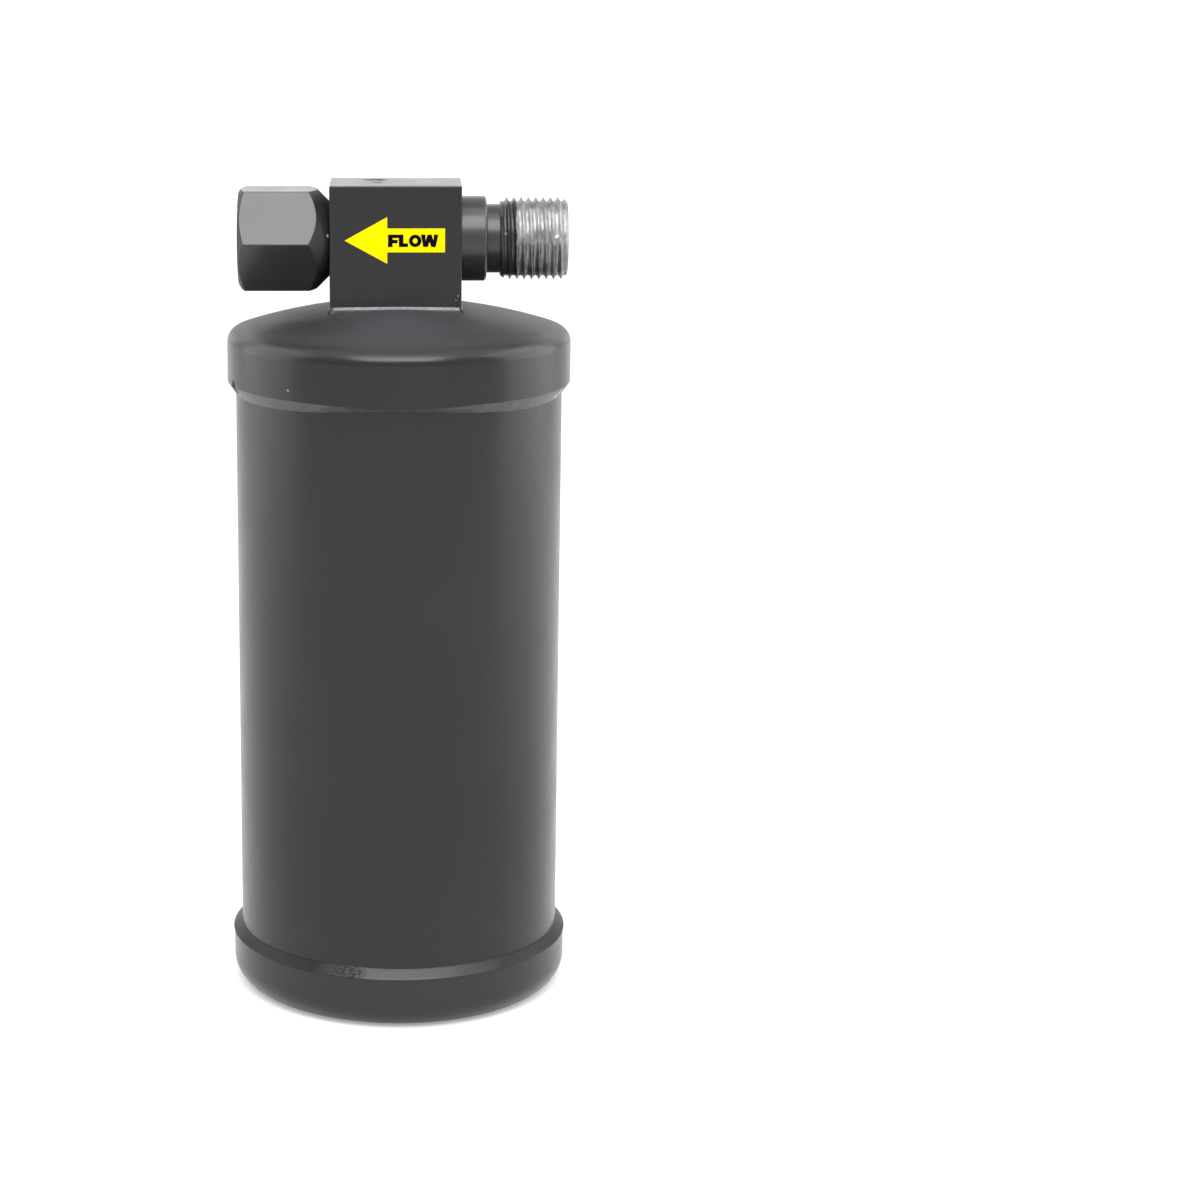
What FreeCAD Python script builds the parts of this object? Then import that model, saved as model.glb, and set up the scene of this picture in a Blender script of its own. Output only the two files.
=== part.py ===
import FreeCAD, Part
import math
import os

import Sketcher

# Filter drier: a steel can with a header block, an inlet fitting (+X) and an outlet swivel nut (-X).
# Millimetres, +Z up. The origin is the centre of the can's foot, and the front of the part faces -Y.

# Driving sizes
SIZES = [
    # can
    ("tube_outer_dia", 63.5),
    ("tube_wall", 1.4),
    ("tube_length", 123.6),
    ("cap_wall", 1.5),
    ("cap_fit_gap", 0.1),
    ("tube_end_gap", 0.4),
    ("bottom_lap", 4.9),
    ("bottom_corner_radius", 5.2),
    ("top_lap", 6.6),
    ("top_end_gap", 0.9),
    ("knuckle_radius", 2.5),
    ("crown_radius", 102.5),
    # seam welds
    ("top_weld_height", 2.1),
    ("bottom_weld_height", 1.75),
    ("bottom_weld_ridge", 0.2),
    ("top_weld_bulge_radius", 5.0),
    # header block
    ("header_width", 25.25),
    ("header_depth", 16.4),
    ("header_height", 23.1),
    ("header_offset", -0.625),
    ("header_edge_radius", 0.25),
    ("braze_height", 0.75),
    ("braze_reach", 1.0),
    ("braze_drop", 2.0),
    ("braze_land", 2.1),
    ("port_drop", 10.8),
    ("socket_gap", 0.05),
    ("drill_tip_slope", 0.6),
    # inlet fitting
    ("collar_dia", 16.3),
    ("collar_length", 4.8),
    ("neck_dia", 13.2),
    ("neck_length", 2.65),
    ("thread_dia", 15.7),
    ("thread_length", 12.95),
    ("thread_bevel", 0.9),
    ("inlet_spigot_dia", 11.6),
    ("inlet_spigot_length", 2.8),
    ("inlet_bore_dia", 8.0),
    ("pilot_bore_depth", 6.6),
    ("edge_break", 0.35),
    # outlet nipple, nut and seal
    ("pilot_dia", 9.52),
    ("pilot_gap", 0.2),
    ("pilot_length", 3.4),
    ("nipple_bore_dia", 7.0),
    ("nipple_seat_length", 4.6),
    ("bead_dia", 13.8),
    ("bead_width", 2.0),
    ("bead_play", 0.3),
    ("nut_across_flats", 19.0),
    ("nut_length", 17.5),
    ("nut_rear_gap", 0.1),
    ("nut_rear_dia", 14.3),
    ("nut_face_dia", 17.7),
    ("nut_face_slope", 0.577),
    ("nut_floor", 2.5),
    ("nut_run_gap", 0.08),
    ("nut_thread_dia", 14.4),
    ("nut_relief_dia", 16.2),
    ("nut_mouth_dia", 16.4),
    ("relief_gap", 0.5),
    ("seal_section", 1.6),
    ("seal_gap", 0.02),
    # flow passages, pickup tube and strainer
    ("pickup_offset", -3.4),
    ("pickup_dia", 7.94),
    ("pickup_wall", 0.8),
    ("pickup_socket_depth", 7.0),
    ("pickup_foot_gap", 7.0),
    ("inlet_drop_offset", 5.0),
    ("inlet_drop_dia", 5.8),
    ("strainer_dia", 13.5),
    ("strainer_wall", 0.6),
    ("strainer_plate_gap", 0.4),
    ("strainer_shoulder", 2.0),
    ("strainer_reach", 6.0),
    ("strainer_slot_width", 2.5),
    ("strainer_slot_height", 5.0),
    # drying pack
    ("ring_height", 14.0),
    ("ring_wall", 1.4),
    ("ring_gap", 0.3),
    ("plate_thickness", 1.0),
    ("plate_hole_dia", 5.0),
    ("inner_hole_circle_dia", 28.0),
    ("outer_hole_circle_dia", 47.0),
    ("pack_gap", 0.15),
    ("pad_thickness", 4.5),
    ("spring_height", 31.0),
    ("spring_outer_dia", 47.0),
    ("spring_wire_dia", 2.6),
    ("spring_open_turns", 2.0),
    ("spring_end_pitch", 1.03),
    ("spring_seat_gap", 0.1),
]

# Places and fits worked out from the driving sizes
PLACES = [
    ("tube_radius", "size.tube_outer_dia / 2"),
    ("tube_inner_radius", "size.tube_outer_dia / 2 - size.tube_wall"),
    ("cap_inner_radius", "size.tube_outer_dia / 2 + size.cap_fit_gap"),
    ("cap_radius", "size.tube_outer_dia / 2 + size.cap_fit_gap + size.cap_wall"),
    ("tube_bottom", "size.bottom_corner_radius + size.tube_end_gap"),
    ("tube_top", "fit.tube_bottom + size.tube_length"),
    ("bottom_rim", "fit.tube_bottom + size.bottom_lap"),
    ("top_rim", "fit.tube_top - size.top_lap"),
    ("shoulder", "fit.tube_top + size.top_end_gap"),
    # the crown's arc is tangent to the knuckle's arc
    ("knuckle_centre_radius", "fit.cap_radius - size.knuckle_radius"),
    ("crown_reach", "size.crown_radius - size.knuckle_radius"),
    ("crown_centre", "fit.shoulder - sqrt(fit.crown_reach^2 - fit.knuckle_centre_radius^2)"),
    ("tangent_cos", "fit.knuckle_centre_radius / fit.crown_reach"),
    ("tangent_sin", "(fit.shoulder - fit.crown_centre) / fit.crown_reach"),
    ("crown_top", "fit.crown_centre + size.crown_radius"),
    ("crown_inner_radius", "size.crown_radius - size.cap_wall"),
    # header block and ports
    ("header_left", "size.header_offset - size.header_width / 2"),
    ("header_right", "size.header_offset + size.header_width / 2"),
    ("port_height", "fit.crown_top + size.header_height - size.port_drop"),
    ("port_over_foot", "size.header_height - size.port_drop"),
    ("fitting_end", "fit.header_right + size.collar_length + size.neck_length + size.thread_length"),
    ("pilot_bore_radius", "size.pilot_dia / 2 + size.pilot_gap"),
    # nut, from its rear end towards its mouth
    ("nut_rear", "fit.header_left - size.nut_rear_gap"),
    ("nut_mouth", "fit.nut_rear - size.nut_length"),
    ("nut_floor_face", "fit.nut_rear - size.nut_floor"),
    ("bead_rear", "fit.nut_floor_face - size.bead_play"),
    ("bead_front", "fit.bead_rear - size.bead_width"),
    ("pilot_end", "fit.bead_front - size.pilot_length"),
    ("relief_end", "fit.pilot_end - size.relief_gap"),
    ("nut_corner_radius", "size.nut_across_flats / sqrt(3)"),
    # pickup tube
    ("pickup_radius", "size.pickup_dia / 2"),
    ("pickup_top", "fit.crown_top + size.pickup_socket_depth"),
    ("pickup_bottom", "size.cap_wall + size.pickup_foot_gap"),
    # drying pack, from the foot upwards
    ("lower_plate_bottom", "size.cap_wall + size.ring_height"),
    ("strainer_top", "fit.lower_plate_bottom - size.strainer_plate_gap"),
    ("lower_pad_bottom", "fit.lower_plate_bottom + size.plate_thickness"),
    ("bed_bottom", "fit.lower_pad_bottom + size.pad_thickness"),
    ("spring_top", "fit.crown_centre + sqrt(fit.crown_inner_radius^2 - size.spring_outer_dia^2 / 4)"
                   " - size.spring_seat_gap"),
    ("spring_bottom", "fit.spring_top - size.spring_height"),
    ("upper_plate_bottom", "fit.spring_bottom - size.plate_thickness"),
    ("bed_top", "fit.upper_plate_bottom - size.pad_thickness"),
    ("pack_radius", "fit.tube_inner_radius - size.pack_gap"),
    ("pack_hole_radius", "fit.pickup_radius + size.pack_gap"),
    ("ring_radius", "fit.cap_inner_radius - (size.bottom_corner_radius - size.cap_wall) - size.ring_gap"),
]

# The spring's wire is drawn with this many sides
SPRING_WIRE_SIDES = 8

doc = FreeCAD.newDocument("filter_drier")


# Document helpers
def make_sheet(name, rows, is_formula):
    """A spreadsheet with one named cell a row."""
    sheet = doc.addObject("Spreadsheet::Sheet", name)
    for row, (alias, value) in enumerate(rows, start=1):
        sheet.set("A%d" % row, alias)
        text = str(value)
        if is_formula:
            text = "=" + text.replace("fit.", "")
        sheet.set("B%d" % row, text)
        sheet.setAlias("B%d" % row, alias)
    doc.recompute()
    return sheet


def value_of(expression):
    """The number that an expression on the two sheets gives."""
    return float(size_sheet.evalExpression(str(expression)))


def make_body(label, height="0", across="0"):
    """A body whose origin lies on the can's axis, at this height, or moved along X."""
    body = doc.addObject("PartDesign::Body", label)
    body.Label = label
    body.setExpression("Placement.Base.x", str(across))
    body.setExpression("Placement.Base.z", str(height))
    return body


def make_sketch(body, name, plane, lift="0"):
    """An empty sketch on one of the body's own origin planes, lifted along the plane's normal."""
    sketch = body.newObject("Sketcher::SketchObject", name)
    for feature in body.Origin.OriginFeatures:
        if feature.Role == plane:
            sketch.AttachmentSupport = [(feature, "")]
    sketch.MapMode = "FlatFace"
    sketch.setExpression("AttachmentOffset.Base.z", str(lift))
    return sketch


def bind(sketch, kind, *where, to):
    """A dimension of the sketch that follows an expression."""
    index = sketch.addConstraint(Sketcher.Constraint(kind, *where, value_of(to)))
    sketch.setExpression("Constraints[%d]" % index, str(to))


def arc_between(start, end, radius, centre_side):
    """The shorter arc from start to end, with its centre on the left or right of the way there."""
    chord = end - start
    half = chord.Length / 2
    away = FreeCAD.Vector(chord.y, -chord.x, 0) / chord.Length
    if centre_side == "right":
        away = away * -1
    sagitta = radius - math.sqrt(radius ** 2 - half ** 2)
    return Part.Arc(start, start + chord / 2 + away * sagitta, end)


def draw_profile(body, name, plane, corners, lift="0"):
    """A closed outline. A corner is (x, y), or (x, y, radius, side) where an arc leaves it."""
    sketch = make_sketch(body, name, plane, lift)
    spots = [FreeCAD.Vector(value_of(c[0]), value_of(c[1]), 0) for c in corners]
    count = len(corners)
    starts = []
    ends = []
    for index, corner in enumerate(corners):
        start = spots[index]
        end = spots[(index + 1) % count]
        forward = True
        if len(corner) == 2:
            sketch.addGeometry(Part.LineSegment(start, end), False)
        else:
            radius = value_of(corner[2])
            sketch.addGeometry(arc_between(start, end, radius, corner[3]), False)
            forward = corner[3] == "left"
        starts.append(1 if forward else 2)
        ends.append(2 if forward else 1)
    for index in range(count):
        after = (index + 1) % count
        sketch.addConstraint(Sketcher.Constraint("Coincident", index, ends[index], after, starts[after]))
    for index, corner in enumerate(corners):
        bind(sketch, "DistanceX", index, starts[index], to=corner[0])
        bind(sketch, "DistanceY", index, starts[index], to=corner[1])
        if len(corner) == 4:
            bind(sketch, "Radius", index, to=corner[2])
    return sketch


def draw_circles(body, name, plane, circles, lift="0"):
    """Circles given as (x, y, radius)."""
    sketch = make_sketch(body, name, plane, lift)
    up = FreeCAD.Vector(0, 0, 1)
    for index, (x, y, radius) in enumerate(circles):
        centre = FreeCAD.Vector(value_of(x), value_of(y), 0)
        sketch.addGeometry(Part.Circle(centre, up, value_of(radius)), False)
        bind(sketch, "DistanceX", index, 3, to=x)
        bind(sketch, "DistanceY", index, 3, to=y)
        bind(sketch, "Radius", index, to=radius)
    return sketch


def rectangle(left, right, low, high):
    """The corners of a rectangle."""
    return [(left, low), (right, low), (right, high), (left, high)]


def finish(body, feature):
    """Make this feature the body's result."""
    body.Tip = feature
    doc.recompute()
    return feature


def turn(body, kind, sketch, axis):
    """Turn a profile around one of its sketch's axes, as a Revolution or a Groove."""
    feature = body.newObject("PartDesign::" + kind, sketch.Name + "_turned")
    feature.Profile = sketch
    feature.ReferenceAxis = (sketch, [axis])
    feature.Angle = 360
    return finish(body, feature)


def pad(body, sketch, length):
    """Extrude a sketch along its normal."""
    feature = body.newObject("PartDesign::Pad", sketch.Name + "_pad")
    feature.Profile = sketch
    feature.setExpression("Length", str(length))
    return finish(body, feature)


def cut_through(body, sketch):
    """Cut a sketch right through the body, both ways."""
    feature = body.newObject("PartDesign::Pocket", sketch.Name + "_cut")
    feature.Profile = sketch
    feature.Type = 1
    feature.Midplane = True
    return finish(body, feature)


def cut_up(body, sketch, length):
    """Cut a sketch into the body along +Z, from its own plane."""
    feature = body.newObject("PartDesign::Pocket", sketch.Name + "_cut")
    feature.Profile = sketch
    feature.setExpression("Length", str(length))
    feature.Reversed = True
    return finish(body, feature)


def round_edges(body, feature, wanted, radius):
    """Fillet the feature's edges that pass the test."""
    names = []
    for index, edge in enumerate(feature.Shape.Edges, start=1):
        if wanted(edge):
            names.append("Edge%d" % index)
    fillet = body.newObject("PartDesign::Fillet", body.Name + "_round")
    fillet.Base = (feature, names)
    fillet.setExpression("Radius", radius)
    return finish(body, fillet)


# Can
def make_body_tube():
    body = make_body("body_tube", "fit.tube_bottom")
    wall = rectangle("fit.tube_inner_radius", "fit.tube_radius", "0", "size.tube_length")
    turn(body, "Revolution", draw_profile(body, "tube_wall_profile", "XZ_Plane", wall), "V_Axis")
    return body


def make_bottom_cap():
    """A drawn cup: flat foot, round corner and a skirt outside the tube."""
    body = make_body("bottom_cap")
    inner_corner = "(size.bottom_corner_radius - size.cap_wall)"
    section = [
        ("0", "0"),
        ("fit.cap_radius - size.bottom_corner_radius", "0", "size.bottom_corner_radius", "left"),
        ("fit.cap_radius", "size.bottom_corner_radius"),
        ("fit.cap_radius", "fit.bottom_rim"),
        ("fit.cap_inner_radius", "fit.bottom_rim"),
        ("fit.cap_inner_radius", "size.bottom_corner_radius", inner_corner, "right"),
        ("fit.cap_inner_radius - " + inner_corner, "size.cap_wall"),
        ("0", "size.cap_wall"),
    ]
    turn(body, "Revolution", draw_profile(body, "cup_section", "XZ_Plane", section), "V_Axis")
    return body


def make_top_cap():
    """A drawn cap: skirt, tight knuckle and a nearly flat crown with its two flow holes."""
    body = make_body("top_cap")
    inner_knuckle = "(size.knuckle_radius - size.cap_wall)"
    section = [
        ("fit.cap_inner_radius", "fit.top_rim"),
        ("fit.cap_radius", "fit.top_rim"),
        ("fit.cap_radius", "fit.shoulder", "size.knuckle_radius", "left"),
        ("size.crown_radius * fit.tangent_cos",
         "fit.crown_centre + size.crown_radius * fit.tangent_sin", "size.crown_radius", "left"),
        ("0", "fit.crown_top"),
        ("0", "fit.crown_top - size.cap_wall", "fit.crown_inner_radius", "right"),
        ("fit.crown_inner_radius * fit.tangent_cos",
         "fit.crown_centre + fit.crown_inner_radius * fit.tangent_sin", inner_knuckle, "right"),
        ("fit.cap_inner_radius", "fit.shoulder"),
    ]
    turn(body, "Revolution", draw_profile(body, "cap_section", "XZ_Plane", section), "V_Axis")
    holes = [
        ("size.pickup_offset", "0", "fit.pickup_radius + size.socket_gap"),
        ("size.inlet_drop_offset", "0", "size.inlet_drop_dia / 2"),
    ]
    cut_through(body, draw_circles(body, "crown_holes", "XY_Plane", holes))
    return body


def make_top_seam_weld():
    """A fillet weld under the cap's rim, against the tube."""
    body = make_body("top_seam_weld", "fit.top_rim")
    section = [
        ("fit.tube_radius", "0"),
        ("fit.tube_radius", "-size.top_weld_height", "size.top_weld_bulge_radius", "left"),
        ("fit.cap_radius", "0"),
    ]
    turn(body, "Revolution", draw_profile(body, "top_bead_section", "XZ_Plane", section), "V_Axis")
    return body


def make_bottom_seam_weld():
    """A flat weld on the cup's rim, with a low ridge that stands proud of the skirt."""
    body = make_body("bottom_seam_weld", "fit.bottom_rim")
    section = [
        ("fit.tube_radius", "0"),
        ("fit.cap_radius", "0"),
        ("fit.cap_radius + size.bottom_weld_ridge", "size.bottom_weld_ridge"),
        ("fit.tube_radius", "size.bottom_weld_height"),
    ]
    turn(body, "Revolution", draw_profile(body, "bottom_bead_section", "XZ_Plane", section), "V_Axis")
    return body


# Header block
def make_header_block():
    """The block, with its inlet port on the right, its outlet port on the left and two bores below."""
    body = make_body("header_block", "fit.crown_top")
    half_depth = "size.header_depth / 2"
    outline = rectangle("fit.header_left", "fit.header_right", "-" + half_depth, half_depth)
    block = pad(body, draw_profile(body, "block_outline", "XY_Plane", outline), "size.header_height")

    def is_outer_edge(edge):
        return edge.BoundBox.ZMax > 0.5 * value_of("size.header_height")

    round_edges(body, block, is_outer_edge, "size.header_edge_radius")

    axis = "fit.port_over_foot"
    inlet_socket = "size.inlet_spigot_dia / 2 + size.socket_gap"
    inlet_floor = "fit.header_right - size.inlet_spigot_length - size.socket_gap"
    inlet_bore = "size.inlet_bore_dia / 2"
    inlet_bore_end = "size.inlet_drop_offset - size.edge_break"
    port_bore(body, "inlet_port", axis, [
        ("fit.header_right", "0"),
        ("fit.header_right", inlet_socket),
        (inlet_floor, inlet_socket),
        (inlet_floor, inlet_bore),
        (inlet_bore_end, inlet_bore),
        (inlet_bore_end + " - size.drill_tip_slope * " + inlet_bore, "0"),
    ])
    outlet_socket = "size.pilot_dia / 2 + size.socket_gap"
    outlet_floor = "fit.header_left + size.nipple_seat_length + size.socket_gap"
    outlet_bore = "size.nipple_bore_dia / 2"
    outlet_bore_end = "size.pickup_offset + size.edge_break"
    port_bore(body, "outlet_port", axis, [
        ("fit.header_left", "0"),
        ("fit.header_left", outlet_socket),
        (outlet_floor, outlet_socket),
        (outlet_floor, outlet_bore),
        (outlet_bore_end, outlet_bore),
        (outlet_bore_end + " + size.drill_tip_slope * " + outlet_bore, "0"),
    ])
    bore_up(body, "pickup_socket", "size.pickup_offset", "fit.pickup_radius + size.socket_gap",
            "size.pickup_socket_depth + size.socket_gap")
    bore_up(body, "pickup_bore", "size.pickup_offset", "fit.pickup_radius - size.pickup_wall", axis)
    bore_up(body, "inlet_drop", "size.inlet_drop_offset", "size.inlet_drop_dia / 2", axis)
    return body


def port_bore(body, name, height, half_section):
    """A stepped bore around the port axis, from the upper half of its section."""
    corners = [(x, "%s + %s" % (height, y)) for x, y in half_section]
    sketch = draw_profile(body, name, "XZ_Plane", corners)
    centre_line = Part.LineSegment(
        FreeCAD.Vector(value_of(corners[0][0]), value_of(height), 0),
        FreeCAD.Vector(value_of(corners[-1][0]), value_of(height), 0))
    line = sketch.addGeometry(centre_line, True)
    sketch.addConstraint(Sketcher.Constraint("Coincident", line, 1, 0, 1))
    sketch.addConstraint(Sketcher.Constraint("Coincident", line, 2, len(corners) - 1, 1))
    turn(body, "Groove", sketch, "Axis0")


def bore_up(body, name, across, radius, depth):
    """A round bore from the block's foot upwards."""
    cut_up(body, draw_circles(body, name, "XY_Plane", [(across, "0", radius)]), depth)


def make_header_braze():
    """Braze metal: a fillet around the block's foot that runs down to the crown."""
    body = make_body("header_braze", "fit.crown_top")
    half_depth = "size.header_depth / 2"

    def footprint(margin):
        sides = ["fit.header_left - %s", "fit.header_right + %s",
                 "-" + half_depth + " - %s", half_depth + " + %s"]
        return rectangle(*[side % margin for side in sides])

    drop = "-(size.braze_drop - size.braze_height)"
    lower = draw_profile(body, "braze_toe", "XY_Plane", footprint("size.braze_reach"), drop)
    upper = draw_profile(body, "braze_top", "XY_Plane", footprint("0"), "size.braze_height")
    loft = body.newObject("PartDesign::AdditiveLoft", "braze_fillet")
    loft.Profile = lower
    loft.Sections = [upper]
    loft.Ruled = True
    finish(body, loft)
    cut_up(body, draw_profile(body, "block_seat", "XY_Plane", footprint("0")), "size.braze_height * 2")
    cut_through(body, draw_profile(body, "braze_inner", "XY_Plane", footprint("-size.braze_land")))
    reach = "(size.header_width + size.header_depth)"
    rise = "sqrt(size.crown_radius^2 - %s^2) - size.crown_radius" % reach
    below_crown = [
        ("0", "0"),
        ("0", "-size.braze_drop - size.crown_radius / 5"),
        (reach, "-size.braze_drop - size.crown_radius / 5"),
        (reach, rise, "size.crown_radius", "left"),
    ]
    turn(body, "Groove", draw_profile(body, "crown_space", "XZ_Plane", below_crown), "V_Axis")
    return body


# Inlet side
def make_inlet_fitting():
    """A turned fitting: spigot, collar, relief neck, thread land and a bore with a pilot seat."""
    body = make_body("inlet_fitting", "fit.port_height", "fit.header_right")
    spigot = "size.inlet_spigot_dia / 2"
    collar = "size.collar_dia / 2"
    neck = "size.neck_dia / 2"
    land = "size.thread_dia / 2"
    bore = "size.inlet_bore_dia / 2"
    seat = "fit.pilot_bore_radius"
    collar_end = "size.collar_length"
    neck_end = "size.collar_length + size.neck_length"
    end = "size.collar_length + size.neck_length + size.thread_length"
    section = [
        ("-size.inlet_spigot_length", bore),
        ("-size.inlet_spigot_length", spigot),
        ("0", spigot),
        ("0", collar),
        (collar_end + " - size.edge_break", collar),
        (collar_end, collar + " - size.edge_break"),
        (collar_end, neck),
        (neck_end, neck),
        (neck_end, land + " - size.edge_break"),
        (neck_end + " + size.edge_break", land),
        (end + " - size.thread_bevel", land),
        (end, land + " - size.thread_bevel"),
        (end, seat + " + size.edge_break"),
        (end + " - size.edge_break", seat),
        (end + " - size.pilot_bore_depth", seat),
        (end + " - size.pilot_bore_depth - size.drill_tip_slope * (" + seat + " - " + bore + ")", bore),
    ]
    turn(body, "Revolution", draw_profile(body, "fitting_section", "XZ_Plane", section), "H_Axis")
    return body


# Outlet side
def make_outlet_nipple():
    """The tube end that carries the nut: seat in the block, neck, formed bead and pilot."""
    body = make_body("outlet_nipple", "fit.port_height")
    tube = "size.pilot_dia / 2"
    bore = "size.nipple_bore_dia / 2"
    bead = "size.bead_dia / 2"
    inner_end = "fit.header_left + size.nipple_seat_length"
    section = [
        (inner_end, bore),
        (inner_end, tube),
        ("fit.bead_rear", tube),
        ("fit.bead_rear", bead + " - size.edge_break"),
        ("fit.bead_rear - size.edge_break", bead),
        ("fit.bead_front + size.edge_break", bead),
        ("fit.bead_front", bead + " - size.edge_break"),
        ("fit.bead_front", tube),
        ("fit.pilot_end + size.edge_break", tube),
        ("fit.pilot_end", tube + " - size.edge_break"),
        ("fit.pilot_end", bore),
    ]
    turn(body, "Revolution", draw_profile(body, "nipple_section", "XZ_Plane", section), "H_Axis")
    return body


def make_outlet_o_ring():
    """A seal on the pilot, against the bead."""
    ring = doc.addObject("Part::Torus", "outlet_o_ring")
    ring.Label = "outlet_o_ring"
    ring.setExpression("Radius2", "size.seal_section / 2")
    ring.setExpression("Radius1", "size.pilot_dia / 2 + size.seal_section / 2 + size.seal_gap")
    ring.Placement = FreeCAD.Placement(FreeCAD.Vector(), FreeCAD.Rotation(FreeCAD.Vector(0, 1, 0), 90))
    ring.setExpression("Placement.Base.x", "fit.bead_front - size.seal_section / 2 - size.seal_gap")
    ring.setExpression("Placement.Base.z", "fit.port_height")
    return ring


def make_swivel_nut():
    """A hexagon nut with a floor that turns on the nipple, behind its bead."""
    body = make_body("swivel_nut", "fit.port_height", "fit.nut_mouth")
    flat = "size.nut_across_flats / 2"
    corner = "fit.nut_corner_radius"
    hexagon = [
        (corner, "0"),
        (corner + " / 2", flat),
        ("-" + corner + " / 2", flat),
        ("-" + corner, "0"),
        ("-" + corner + " / 2", "-" + flat),
        (corner + " / 2", "-" + flat),
    ]
    pad(body, draw_profile(body, "nut_outline", "YZ_Plane", hexagon), "size.nut_length")
    beyond = "(" + corner + " + 1)"
    face = "size.nut_face_dia / 2"
    rear = "size.nut_rear_dia / 2"
    front_bevel = [
        ("0", face),
        ("size.nut_face_slope * (" + beyond + " - " + face + ")", beyond),
        ("0", beyond),
    ]
    turn(body, "Groove", draw_profile(body, "front_bevel", "XZ_Plane", front_bevel), "H_Axis")
    rear_bevel = [
        ("size.nut_length", rear),
        ("size.nut_length", beyond),
        ("size.nut_length - (" + beyond + " - " + rear + ")", beyond),
    ]
    turn(body, "Groove", draw_profile(body, "rear_bevel", "XZ_Plane", rear_bevel), "H_Axis")
    mouth = "size.nut_mouth_dia / 2"
    land = "size.nut_thread_dia / 2"
    relief = "size.nut_relief_dia / 2"
    hole = "size.pilot_dia / 2 + size.nut_run_gap"
    relief_start = "fit.relief_end - fit.nut_mouth"
    floor = "size.nut_length - size.nut_floor"
    inside = [
        ("0", "0"),
        ("0", mouth),
        (mouth + " - " + land, land),
        (relief_start + " - (" + relief + " - " + land + ")", land),
        (relief_start, relief),
        (floor, relief),
        (floor, hole),
        ("size.nut_length", hole),
        ("size.nut_length", "0"),
    ]
    turn(body, "Groove", draw_profile(body, "nut_inside", "XZ_Plane", inside), "H_Axis")
    return body


# Pickup tube and strainer
def make_pickup_tube():
    body = make_body("pickup_tube", "fit.pickup_bottom", "size.pickup_offset")
    length = "fit.pickup_top - fit.pickup_bottom"
    wall = rectangle("fit.pickup_radius - size.pickup_wall", "fit.pickup_radius", "0", length)
    turn(body, "Revolution", draw_profile(body, "pickup_wall_profile", "XZ_Plane", wall), "V_Axis")
    return body


def make_pickup_strainer():
    """A slotted cup whose collar grips the pickup tube's lower end, just below the lower plate."""
    body = make_body("pickup_strainer", "fit.pickup_bottom", "size.pickup_offset")
    grip = "fit.pickup_radius + size.socket_gap"
    outer = "size.strainer_dia / 2"
    wall = "size.strainer_wall"
    foot = "-size.strainer_reach"
    shoulder = "size.strainer_shoulder"
    rise = "(%s - %s - %s)" % (outer, grip, wall)
    collar_top = "fit.strainer_top - fit.pickup_bottom"
    section = [
        ("0", foot),
        (outer, foot),
        (outer, shoulder),
        (grip + " + " + wall, shoulder + " + " + rise),
        (grip + " + " + wall, collar_top),
        (grip, collar_top),
        (grip, shoulder + " + " + rise + " - " + wall),
        (outer + " - " + wall, shoulder + " - " + wall),
        (outer + " - " + wall, foot + " + " + wall),
        ("0", foot + " + " + wall),
    ]
    turn(body, "Revolution", draw_profile(body, "strainer_section", "XZ_Plane", section), "V_Axis")
    half_width = "size.strainer_slot_width / 2"
    slot_foot = foot + " + " + wall + " * 2"
    slot = rectangle("-" + half_width, half_width, slot_foot, slot_foot + " + size.strainer_slot_height")
    cut = cut_through(body, draw_profile(body, "strainer_slot", "XZ_Plane", slot))
    pattern = body.newObject("PartDesign::PolarPattern", "strainer_slots")
    pattern.Originals = [cut]
    pattern.Axis = (cut.Profile[0], ["V_Axis"])
    pattern.Angle = 180
    pattern.Occurrences = 3
    pattern.Mode = "Spacing"
    pattern.setExpression("Offset", "60")
    finish(body, pattern)
    return body


# Drying pack
def make_lower_support_ring():
    body = make_body("lower_support_ring", "size.cap_wall")
    wall = rectangle("fit.ring_radius - size.ring_wall", "fit.ring_radius", "0", "size.ring_height")
    turn(body, "Revolution", draw_profile(body, "ring_wall_profile", "XZ_Plane", wall), "V_Axis")
    return body


def make_perforated_plate(label, height):
    """A disc with two rings of flow holes and a hole for the pickup tube."""
    body = make_body(label, height)
    discs = [("0", "0", "fit.pack_radius"), ("size.pickup_offset", "0", "fit.pack_hole_radius")]
    pad(body, draw_circles(body, label + "_outline", "XY_Plane", discs), "size.plate_thickness")
    for ring, count in (("inner", 8), ("outer", 16)):
        spot = [("0", "size.%s_hole_circle_dia / 2" % ring, "size.plate_hole_dia / 2")]
        sketch = draw_circles(body, "%s_%s_hole" % (label, ring), "XY_Plane", spot)
        hole = cut_up(body, sketch, "size.plate_thickness")
        pattern = body.newObject("PartDesign::PolarPattern", "%s_%s_holes" % (label, ring))
        pattern.Originals = [hole]
        pattern.Axis = (sketch, ["N_Axis"])
        pattern.Angle = 360
        pattern.Occurrences = count
        finish(body, pattern)
    return body


def make_pack_disc(label, bottom, top):
    """A plain disc of the pack, with a hole for the pickup tube."""
    height = "%s - %s" % (top, bottom)
    disc = doc.addObject("Part::Cylinder", label + "_disc")
    disc.setExpression("Radius", "fit.pack_radius")
    disc.setExpression("Height", height)
    hole = doc.addObject("Part::Cylinder", label + "_hole")
    hole.setExpression("Radius", "fit.pack_hole_radius")
    hole.setExpression("Height", height)
    hole.setExpression("Placement.Base.x", "size.pickup_offset")
    piece = doc.addObject("Part::Cut", label)
    piece.Label = label
    piece.Base = disc
    piece.Tool = hole
    piece.setExpression("Placement.Base.z", bottom)
    return piece


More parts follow.
